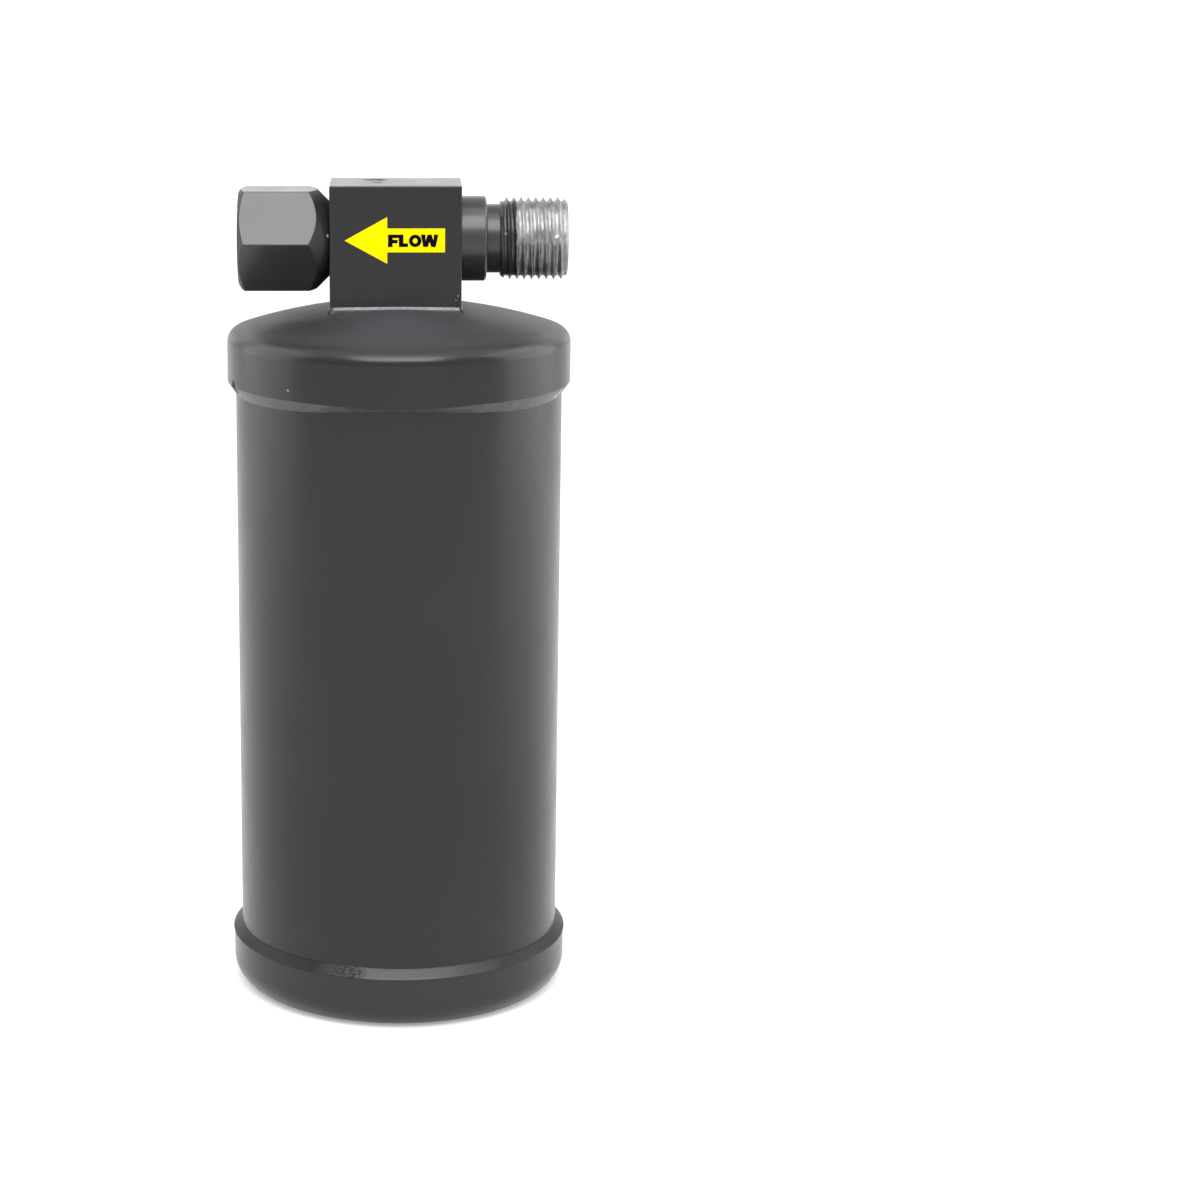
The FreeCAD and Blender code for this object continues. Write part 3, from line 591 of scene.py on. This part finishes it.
def label_film():
    """Yellow label film with a slight ripple and a faintly worn face."""
    finish = Finish("label_film_yellow")
    tone = finish.span(finish.noise(3 * MM, 4.0), 0.3, 0.7)
    finish.set(Base_Color=finish.mix(tone, (0.92, 0.70, 0.0), (0.96, 0.76, 0.0)),
               Roughness=finish.span(tone, 0.0, 1.0, 0.42, 0.52), Specular_IOR_Level=0.03)
    finish.bump(finish.noise(1.5 * MM, 2.0), 0.010 * MM, 0.4)
    return finish.material


def label_ink():
    """Black screen ink, slightly uneven."""
    finish = Finish("label_ink_black")
    tone = finish.span(finish.noise(0.4 * MM, 4.0), 0.3, 0.7)
    finish.set(Base_Color=finish.mix(tone, (0.001, 0.001, 0.005), (0.004, 0.004, 0.010)),
               Roughness=finish.span(tone, 0.0, 1.0, 0.45, 0.6), Specular_IOR_Level=0.03)
    finish.bump(finish.noise(0.2 * MM), 0.003 * MM, 0.4)
    return finish.material


# Welds and braze
def round_the_can(angle, radius, height):
    """A point around the can. The angle runs from the front (-Y) towards +X."""
    return Vector((radius * math.sin(angle), -radius * math.cos(angle), height))


def weld_angles():
    """The angle of each column around the can, in radians, and in degrees from -180 to 180."""
    for i in range(WELD_COLUMNS):
        angle = 2 * math.pi * i / WELD_COLUMNS
        yield angle, math.degrees(angle if angle < math.pi else angle - 2 * math.pi)


def build_top_weld():
    """The bead under the cap's rim. Its face is narrow at the front and taller to both sides, where it
    shows lighter than the cap. Its pale grey is a painted reflection of the floor."""
    bm = bmesh.new()
    columns = []
    rim = CAP_RADIUS - 0.01 * MM
    steps = 7
    for angle, degrees in weld_angles():
        middle = round_the_can(angle, CAP_RADIUS, TOP_RIM)
        lump = waves(middle, 9 * MM, 1.0)
        ripple = waves(middle, 1.6 * MM, 5.0)
        # How far the face's upper edge and its toe hang below the rim, in mm
        edge_hang = 0.12 + 0.50 * bell(degrees, 0, 20) + 0.05 * lump
        toe_hang = 2.55 - 1.35 * bell(abs(degrees), 0, 30) - 0.3 * bell(abs(degrees), 90, 18)
        face_top = TOP_RIM - edge_hang * MM
        toe = TOP_RIM - (toe_hang + 0.10 * lump + 0.04 * ripple) * MM
        section = [round_the_can(angle, rim, TOP_RIM + 0.05 * MM)]
        for step in range(steps + 1):
            share = step / steps
            radius = blend(rim, TUBE_RADIUS + 0.01 * MM, share)
            radius += (0.05 + 0.04 * lump + 0.03 * ripple) * MM * 4 * share * (1 - share)
            section.append(round_the_can(angle, min(radius, rim), blend(face_top, toe, share)))
        section.append(round_the_can(angle, TUBE_RADIUS - WELD_SINK, toe))
        section.append(round_the_can(angle, TUBE_RADIUS - WELD_SINK, TOP_RIM + 0.1 * MM))
        section.append(round_the_can(angle, CAP_RADIUS - 0.2 * MM, TOP_RIM + 0.1 * MM))
        columns.append(section)
    for face, step in join_columns(bm, columns, True):
        face.material_index = int(1 <= step <= steps)
    mesh = finish_mesh(bm, "top_seam_weld_bead", 20.0)
    # Painted glints: two near-white marks at the bead's right end.
    pale_marks = [((29.9 * MM, -12.2 * MM, TOP_RIM - 1.5 * MM), 0.60 * MM, CHIP, 0.5),
             ((30.8 * MM, -10.7 * MM, TOP_RIM - 0.8 * MM), 0.70 * MM, CHIP, 0.5)]
    add_piece("top_seam_weld_bead", mesh, "canister",
              [plain_paint("top_weld_rim_paint", [RIM_NOTCH]),
               # Painted reflection: the bead's face is pale grey, for the bright floor that it
               # reflects.
               weld_paint("top_weld_painted_reflection", (0.074, 0.072, 0.070), 0.40, [RIM_NOTCH, *pale_marks])],
              ["top_seam_weld"])


def build_bottom_weld():
    """The flat bead on the cup's rim, and the rough place where the weld's ends meet."""
    bm = bmesh.new()
    columns = []
    ridge = WELD_RADIUS
    sunk = TUBE_RADIUS - WELD_SINK
    scar_at, scar_width = -20, 8
    steps = 9
    for angle, degrees in weld_angles():
        middle = round_the_can(angle, CAP_RADIUS, BOTTOM_RIM)
        lump = waves(middle, 9 * MM, 3.0)
        scar = bell(degrees, scar_at, scar_width)
        toe = WELD_TOP + (0.05 * lump + 0.15 * scar) * MM
        outline = [
            (CAP_RADIUS - 0.3 * MM, BOTTOM_RIM - 0.05 * MM),
            (CAP_RADIUS + 0.02 * MM, BOTTOM_RIM - 0.03 * MM),
            (ridge - 0.08 * MM, BOTTOM_RIM + 0.05 * MM),
            (ridge - 0.02 * MM, BOTTOM_RIM + 0.13 * MM),
        ]
        for step in range(steps + 1):
            share = step / steps
            radius = blend(ridge - 0.05 * MM, TUBE_RADIUS + 0.01 * MM, share)
            height = blend(BOTTOM_RIM + 0.20 * MM, toe, share)
            point = round_the_can(angle, radius, height)
            held = (1 - share ** 4) * min(1.0, 6 * share)
            rough = scar * (0.5 * waves(point, 0.5 * MM, 2.0) + 0.5 * waves(point, 1.1 * MM, 7.0))
            lift = held * (0.13 * rough + 0.02 * waves(point, 4 * MM, 4.0)) - 0.03 * scar * held
            outline.append((radius + lift * MM, height + lift * MM))
        outline.append((sunk, toe))
        outline.append((sunk, BOTTOM_RIM - 0.05 * MM))
        columns.append([round_the_can(angle, min(radius, ridge), height) for radius, height in outline])
    join_columns(bm, columns, True)
    mesh = finish_mesh(bm, "bottom_seam_weld_bead", 50.0)
    add_piece("bottom_seam_weld_bead", mesh, "canister",
              [bottom_weld_paint()], ["bottom_seam_weld"])


def block_outline(corner, step):
    """Points around the block's foot, each with the outward direction, anticlockwise from the front
    right corner as seen from above."""
    low, high = BLOCK_LOW, BLOCK_HIGH
    corner_turns = 8
    corners = [(high.x - corner, low.y + corner, -90), (high.x - corner, high.y - corner, 0),
               (low.x + corner, high.y - corner, 90), (low.x + corner, low.y + corner, 180)]
    outline = []
    for index, (x, y, start) in enumerate(corners):
        for turn in range(corner_turns + 1):
            angle = math.radians(start + 90 * turn / corner_turns)
            out = Vector((math.cos(angle), math.sin(angle)))
            outline.append((Vector((x, y)) + out * corner, out))
        first, face_out = outline[-1]
        after = corners[(index + 1) % len(corners)]
        last = Vector(after[:2]) + face_out * corner
        count = round((last - first).length / step)
        for k in range(1, count):
            outline.append((first.lerp(last, k / count), face_out))
    return outline


def build_braze():
    """The braze fillet around the block's foot: a nearly straight band, pale as a painted highlight,
    over a dark toe that follows the crown, under a straight step, with short dark spikes at the front
    corners."""
    bm = bmesh.new()
    columns = []
    corner, column_step = 0.25 * MM, 0.25 * MM
    front = BLOCK_LOW.y + corner
    corners = (Vector((BLOCK_LOW.x + corner, front)), Vector((BLOCK_HIGH.x - corner, front)))
    spike_reach = 0.45 * MM
    painted_highlight_height = 0.46 * MM
    painted_highlight_steps, toe_steps = 4, 3
    dark_columns = []
    for foot, out in block_outline(corner, column_step):
        lump = waves((foot.x, foot.y, 0), 5 * MM, 6.0)
        fine = waves((foot.x, foot.y, 0), 1.1 * MM, 8.0)
        from_corner = min((foot - centre).length for centre in corners)
        dark_columns.append(from_corner < spike_reach)
        drawn = bell(from_corner, corner, spike_reach)
        from_middle = foot.x / BLOCK_HIGH.x
        climb = (0.46 + (0.22 + 0.32 * abs(out.y)) * from_middle ** 2 + 0.03 * lump + 0.02 * fine) * MM
        reach = (0.50 - 0.18 * abs(out.x) + 0.04 * lump + 0.03 * fine + 0.30 * drawn) * MM
        ledge = foot + out * 0.03 * MM
        top = Vector((*ledge, crown_height(*ledge) + climb))
        step_top = max(BLOCK_LOW.z, top.z) + 0.06 * MM
        toe_at = foot + out * reach
        toe = Vector((*toe_at, crown_height(*toe_at) - 0.01 * MM))
        elbow = top.lerp(toe, 0.5) - Vector((*(out * 0.02 * MM), 0.02 * MM))
        section = [Vector((*(foot + out * 0.005 * MM), step_top))]
        painted_highlight_share = min(0.90, painted_highlight_height / climb)
        shares = [painted_highlight_share * step / painted_highlight_steps for step in range(painted_highlight_steps)]
        shares += [blend(painted_highlight_share, 1.0, step / toe_steps) for step in range(toe_steps + 1)]
        for share in shares:
            section.append(top.lerp(elbow, share).lerp(elbow.lerp(toe, share), share))
        sunk = foot - out * WELD_SINK
        section.append(Vector((*toe_at, toe.z - 0.3 * MM)))
        section.append(Vector((*sunk, crown_height(*sunk) - 0.3 * MM)))
        section.append(Vector((*sunk, step_top)))
        columns.append(section)
    for index, (face, step) in enumerate(join_columns(bm, columns, True)):
        painted_highlight = 1 <= step <= painted_highlight_steps and not dark_columns[index // len(columns[0])]
        face.material_index = int(not painted_highlight)
    mesh = finish_mesh(bm, "header_braze_fillet", 35.0)
    add_piece("header_braze_fillet", mesh, "canister",
              # Painted highlight: the band's upper faces are pale grey.
              [weld_paint("braze_painted_highlight", grey(0.170), 0.34),
               weld_paint("braze_step_paint", grey(0.006), 0.6)],
              ["header_braze"])


# Inlet fitting
# Each nick's centre, width and depth in mm
THREAD_NICKS = [((30.1, -7.6, 150.4), 0.9, 0.42), ((29.7, -7.4, 151.3), 0.6, 0.30)]


def thread_damage(point):
    """How far the worn thread stands below its true form, in metres."""
    nicked = sum(depth * bell((point - Vector(centre) * MM).length, 0, width * MM)
                 for centre, width, depth in THREAD_NICKS)
    wear = max(0.0, waves(point, 1.6 * MM, 9.0) - 0.2)
    return (nicked + 0.16 * wear) * MM


def build_inlet_fitting():
    """The turned fitting with a cut thread, its relief neck, collar and stepped bore."""
    bm = bmesh.new()
    face = BLOCK_HIGH.x
    end = FITTING_HIGH.x
    neck_start = face + COLLAR_LENGTH
    neck_end = neck_start + NECK_LENGTH
    root = THREAD_RADIUS - THREAD_DEPTH
    start_radius = root - 0.05 * MM
    end_radius = THREAD_RADIUS - THREAD_BEVEL
    inner = PILOT_BORE_RADIUS
    seat = end - PILOT_BORE_DEPTH
    plain_start = [
        (face - SPIGOT_LENGTH, INLET_BORE_RADIUS), (face - SPIGOT_LENGTH, SPIGOT_RADIUS),
        (face, SPIGOT_RADIUS), (face, COLLAR_RADIUS),
        (neck_start - COLLAR_EDGE, COLLAR_RADIUS), (neck_start, COLLAR_RADIUS - COLLAR_EDGE),
        (neck_start, NECK_RADIUS + 0.15 * MM), (neck_start + 0.15 * MM, NECK_RADIUS),
        (neck_end - 0.15 * MM, NECK_RADIUS), (neck_end, NECK_RADIUS + 0.15 * MM),
    ]
    plain_end = [
        (end, inner + 0.35 * MM), (end - 0.35 * MM, inner), (seat, inner),
        (seat - 0.6 * (inner - INLET_BORE_RADIUS), INLET_BORE_RADIUS),
    ]
    columns = []
    for i in range(FITTING_COLUMNS + 1):
        angle = 2 * math.pi * i / FITTING_COLUMNS
        column = [around_port(x, radius, angle) for x, radius in plain_start]
        degrees = math.degrees(angle)
        smeared = max(0.62 * shelf(degrees, 112, 178, 14), 0.34 * shelf(degrees, 180, 232, 10))
        for x, depth in thread_rows(neck_end, end, neck_end + THREAD_FIRST_CREST, FITTING_COLUMNS, i):
            filled = smeared if x > PAINT_END else 0.0
            filled *= 0.85 + 0.5 * waves(around_port(x, THREAD_RADIUS, angle), 2.4 * MM, 11.0)
            radius = THREAD_RADIUS - depth * THREAD_DEPTH * (1 - filled)
            point = around_port(x, radius, angle)
            radius -= thread_damage(point) * (1 - depth)
            radius = min(radius, start_radius + 0.8 * (x - neck_end), end_radius + (end - x))
            column.append(around_port(x, radius, angle))
        column += [around_port(x, radius, angle) for x, radius in plain_end]
        columns.append(column)
    join_columns(bm, columns, False)
    bmesh.ops.remove_doubles(bm, verts=bm.verts, dist=0.0005 * MM)
    mesh = finish_mesh(bm, "threaded_inlet_fitting", 28.0)
    add_piece("threaded_inlet_fitting", mesh, "canister",
              [fitting_finish()], ["inlet_fitting"])


# Swivel nut
def build_swivel_nut():
    """The hexagon nut: bevelled outside, with a cut thread, a relief and a floor inside."""
    bm = bmesh.new()
    mouth = NUT_LOW.x
    rear = NUT_HIGH.x
    floor = rear - NUT_FLOOR
    relief = floor - NUT_RELIEF_LENGTH
    # The steps of the section that lie outside, those of them that are turned, and the materials
    outside_steps = 5
    turned_steps = (1, 3)
    outside_paint, inside_steel, turned_paint = 0, 1, 2
    columns = []
    for i in range(NUT_COLUMNS + 1):
        angle = 2 * math.pi * i / NUT_COLUMNS
        from_flat = (angle % (math.pi / 3)) - math.pi / 6
        side = NUT_FLAT / math.cos(from_flat)
        plain = [
            (mouth, NUT_MOUTH_RADIUS), (mouth, NUT_FACE_RADIUS),
            (mouth + (side - NUT_FACE_RADIUS) * NUT_FACE_SLOPE, side),
            (rear - (side - NUT_REAR_RADIUS), side), (rear, NUT_REAR_RADIUS), (rear, NUT_HOLE_RADIUS),
            (floor, NUT_HOLE_RADIUS), (floor, NUT_RELIEF_RADIUS),
        ]
        column = [around_port(x, radius, angle) for x, radius in plain]
        thread = []
        for x, depth in thread_rows(mouth, relief, mouth, NUT_COLUMNS, i):
            radius = NUT_LAND_RADIUS + (1 - depth) * THREAD_DEPTH
            radius = max(radius, NUT_MOUTH_RADIUS - (x - mouth), NUT_RELIEF_RADIUS - (relief - x))
            thread.append(around_port(x, radius, angle))
        column += reversed(thread)
        columns.append(column)
    for face, step in join_columns(bm, columns, False):
        face.material_index = outside_paint if step < outside_steps else inside_steel
        if step in turned_steps:
            face.material_index = turned_paint
    bmesh.ops.remove_doubles(bm, verts=bm.verts, dist=0.0005 * MM)
    weigh_edges(bm, 12.0, inside_steel)
    mesh = finish_mesh(bm, "threaded_swivel_nut", 28.0)
    # Chips in the nut's paint.
    pale_marks = [((mouth, -6.3 * MM, PORT_HEIGHT + 6.0 * MM), 0.45 * MM, CHIP, 0.45),
             ((rear - 0.2 * MM, -7.2 * MM, 151.1 * MM), 0.32 * MM, CHIP, 0.5)]
    inside = turned_steel("nut_inside_steel", grey(0.42), grey(0.26), 0.34)
    nut = add_piece("threaded_swivel_nut", mesh, "nut",
                    [plain_paint("nut_paint", pale_marks, ior=1.50, lift=0.020), inside,
                     nut_turned_paint(pale_marks)], ["swivel_nut"])
    edge_radius, edge_segments = 0.12 * MM, 3
    round_edges(nut, edge_radius, edge_segments)


# Flow label
LABEL_THICKNESS = 0.10 * MM
INK_THICKNESS = 0.02 * MM
# The arrow in mm: the tip, then the head's and the shaft's right edge, top and foot
ARROW_TIP = (-10.33, 150.29)
ARROW_HEAD = (-2.22, 154.75, 145.87)
ARROW_SHAFT = (8.77, 152.59, 148.06)
LETTER_FOOT = 149.08
LETTER_HEIGHT = 2.36
# Left edge of each letter and its width
LETTER_PLACES = [("F", -2.08, 2.10), ("L", -0.02, 1.76), ("O", 1.89, 2.40), ("W", 4.16, 3.34)]


def letter_outlines(letter, wide, tall):
    """The closed outlines of a bold F, L, O or W in mm, with its foot at 0. The O's second outline is
    its hole."""
    bar = 0.88
    if letter == "F":
        arm_low, arm_high, arm_end = 0.30 * tall, 0.58 * tall, 0.88 * wide
        head = tall - 0.66
        return [[(0, 0), (bar, 0), (bar, arm_low), (arm_end, arm_low), (arm_end, arm_high),
                 (bar, arm_high), (bar, head), (wide, head), (wide, tall), (0, tall)]]
    if letter == "L":
        foot = 0.70
        return [[(0, 0), (wide, 0), (wide, foot), (bar, foot), (bar, tall), (0, tall)]]
    if letter == "W":
        middle, low, notch, crotch = 0.5 * wide, 0.27 * wide, 0.50 * tall, 0.40 * tall
        foot_half, peak_half = 0.42, 0.38
        return [[(0, tall), (low - foot_half, 0), (low + foot_half, 0), (middle, crotch),
                 (wide - low - foot_half, 0), (wide - low + foot_half, 0), (wide, tall),
                 (wide - bar, tall), (wide - low, notch), (middle + peak_half, tall),
                 (middle - peak_half, tall), (low, notch), (bar, tall)]]
    corners = 40
    rings = []
    for margin in (0.0, 0.74):
        ring = []
        for k in range(corners):
            angle = 2 * math.pi * k / corners
            ring.append((wide / 2 + (wide / 2 - margin) * math.cos(angle),
                         tall / 2 + (tall / 2 - margin * 0.90) * math.sin(angle)))
        rings.append(ring)
    return rings


def stand_off(bm, outlines, back, thickness, place):
    """Adds a flat plate that stands off the block's front, with its back at the given y. The outlines
    and their place are in mm."""
    left, foot = place

    def rings(y):
        return [[bm.verts.new((left * MM + x * MM, y, foot * MM + z * MM)) for x, z in outline]
                for outline in outlines]

    def band(first, second):
        for k, vertex in enumerate(first):
            after = (k + 1) % len(first)
            bm.faces.new((vertex, first[after], second[after], second[k]))

    back_rings, front_rings = rings(back), rings(back - thickness)
    for side in (back_rings, front_rings):
        if len(side) == 1:
            bm.faces.new(side[0])
        else:
            band(*side)
    for back_ring, front_ring in zip(back_rings, front_rings):
        band(back_ring, front_ring)


def build_flow_label():
    """A thin arrow of yellow film on the block's front, with its word printed on it."""
    face = BLOCK_LOW.y
    tip_x, tip_z = ARROW_TIP
    head_x, head_top, head_foot = ARROW_HEAD
    end_x, shaft_top, shaft_foot = ARROW_SHAFT
    arrow = [(tip_x, tip_z), (head_x, head_foot), (head_x, shaft_foot), (end_x, shaft_foot),
             (end_x, shaft_top), (head_x, shaft_top), (head_x, head_top)]
    bm = bmesh.new()
    stand_off(bm, [arrow], face, LABEL_THICKNESS, (0.0, 0.0))
    mesh = finish_mesh(bm, "flow_arrow_label")
    add_piece("flow_arrow_label", mesh, "canister", [label_film()])
    bm = bmesh.new()
    for letter, left, wide in LETTER_PLACES:
        stand_off(bm, letter_outlines(letter, wide, LETTER_HEIGHT), face - LABEL_THICKNESS,
                  INK_THICKNESS, (left, LETTER_FOOT))
    mesh = finish_mesh(bm, "flow_label_print")
    add_piece("flow_label_print", mesh, "canister", [label_ink()])


# Carried-over pieces of the CAD model
def dress_frame():
    """Gives every CAD node its material."""
    plate = zinc("zinc_plate")
    finishes = {
        "body_tube": plain_paint("body_tube_paint"),
        "top_cap": cap_paint(),
        # Painted light: the bottom cap's paint is lifted paler for the bright floor that it reflects.
        "bottom_cap": plain_paint("bottom_cap_paint_painted_light", lift=0.006),
        "header_block": block_paint(),
        "outlet_nipple": turned_steel("nipple_steel", grey(0.40), grey(0.28), 0.36),
        "outlet_o_ring": rubber(),
        "pickup_tube": plate,
        "pickup_strainer": plate,
        "lower_support_ring": plate,
        "lower_perforated_plate": plate,
        "upper_perforated_plate": plate,
        "lower_filter_pad": felt(),
        "desiccant_bed": beads(),
        "compression_spring": spring_steel(),
    }
    finishes["upper_filter_pad"] = finishes["lower_filter_pad"]
    for name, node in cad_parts.items():
        node.data.materials.clear()
        node.data.materials.append(finishes.get(name, finishes["body_tube"]))


# Stage
def build_floor():
    """A pale floor that keeps the shadow and stays white into the distance. What the camera and
    mirrors see of it also glows a little, close to the can and again farther out."""
    half_side = 20.0
    albedo = 0.70
    bm = bmesh.new()
    bmesh.ops.create_grid(bm, x_segments=1, y_segments=1, size=half_side)
    mesh = bpy.data.meshes.new("floor")
    bm.to_mesh(mesh)
    bm.free()
    floor = bpy.data.objects.new("floor", mesh)
    bpy.context.scene.collection.objects.link(floor)
    finish = Finish("floor_white")
    finish.set(Base_Color=(*grey(albedo), 1.0), Roughness=0.9, Specular_IOR_Level=0.0)
    rays = finish.add("LightPath")
    seen = finish.most([rays.outputs["Is Camera Ray"], rays.outputs["Is Glossy Ray"],
                        rays.outputs["Is Transmission Ray"]])
    distance = finish.add("VectorMath", operation="LENGTH")
    finish.feed(distance.inputs[0], finish.place)
    near_start, near_end, far_end = 0.05, 0.20, 1.5
    near = finish.span(distance.outputs["Value"], near_start, near_end, 0.32, 0.0)
    far = finish.span(distance.outputs["Value"], near_end, far_end, 0.17, 0.76)
    fill = finish.most([near, far])
    glow = finish.add("Emission")
    finish.feed(glow.inputs["Strength"], finish.math("MULTIPLY", seen, fill))
    total = finish.add("AddShader")
    finish.feed(total.inputs[0], finish.shader.outputs[0])
    finish.feed(total.inputs[1], glow.outputs[0])
    finish.feed(finish.tree.nodes["Material Output"].inputs["Surface"], total.outputs[0])
    mesh.materials.append(finish.material)


def build_world():
    """White to the eye and in reflections, and a softer white as light."""
    world = bpy.data.worlds.new("studio")
    bpy.context.scene.world = world
    world.use_nodes = True
    tree = world.node_tree
    rays = tree.nodes.new("ShaderNodeLightPath")
    seen = rays.outputs["Is Camera Ray"]
    for name in ("Is Glossy Ray", "Is Transmission Ray"):
        either = tree.nodes.new("ShaderNodeMath")
        either.operation = "MAXIMUM"
        tree.links.new(seen, either.inputs[0])
        tree.links.new(rays.outputs[name], either.inputs[1])
        seen = either.outputs[0]
    level = tree.nodes.new("ShaderNodeMapRange")
    tree.links.new(seen, level.inputs["Value"])
    level.inputs["To Min"].default_value = 0.45
    level.inputs["To Max"].default_value = 1.0
    background = tree.nodes["Background"]
    background.inputs["Color"].default_value = (1.0, 1.0, 1.0, 1.0)
    tree.links.new(level.outputs[0], background.inputs["Strength"])


def add_panel(name, azimuth, elevation, distance, size, level):
    """A soft light panel that faces the header, as bright as its level. Azimuth 0 is the front and
    90 the right, both in degrees."""
    light = bpy.data.lights.new(name, "AREA")
    light.shape = "RECTANGLE"
    light.size, light.size_y = size
    light.energy = level * math.pi * size[0] * size[1]
    panel = bpy.data.objects.new(name, light)
    around, up = math.radians(azimuth), math.radians(elevation)
    toward = Vector((math.sin(around) * math.cos(up), -math.cos(around) * math.cos(up), math.sin(up)))
    panel.location = Vector((0.0, 0.0, PORT_HEIGHT)) + toward * distance
    panel.rotation_euler = toward.to_track_quat("Z", "Y").to_euler()
    bpy.context.scene.collection.objects.link(panel)


def build_camera():
    """The camera of the photograph's front view."""
    image_width = 1200.0
    axis_column = 398.9
    focal_pixels = 2990.7
    camera = bpy.data.objects.new("camera", bpy.data.cameras.new("camera"))
    camera.location = (0.0, -0.5772, 0.2174)
    camera.rotation_euler = (math.pi / 2 - 0.237, 0.0, 0.0)
    camera.data.sensor_width = 36.0
    camera.data.lens = focal_pixels * camera.data.sensor_width / image_width
    camera.data.shift_x = (image_width / 2 - axis_column) / image_width
    bpy.context.scene.collection.objects.link(camera)
    bpy.context.scene.camera = camera


dress_frame()
build_top_weld()
build_bottom_weld()
build_braze()
build_inlet_fitting()
build_swivel_nut()
build_flow_label()

build_floor()
build_world()
add_panel("key_panel", 0, 52, 1.2, (1.05, 0.80), 7.0)
add_panel("overhead_panel", 0, 84, 1.2, (0.90, 0.50), 2.0)
add_panel("back_panel", 180, 16, 1.6, (2.4, 0.9), 0.5)
add_panel("left_panel", -98, 20, 0.58, (0.58, 0.70), 1.8)
add_panel("right_panel", 98, 20, 0.58, (0.58, 0.70), 2.6)
build_camera()
bpy.context.scene.view_settings.view_transform = "Standard"
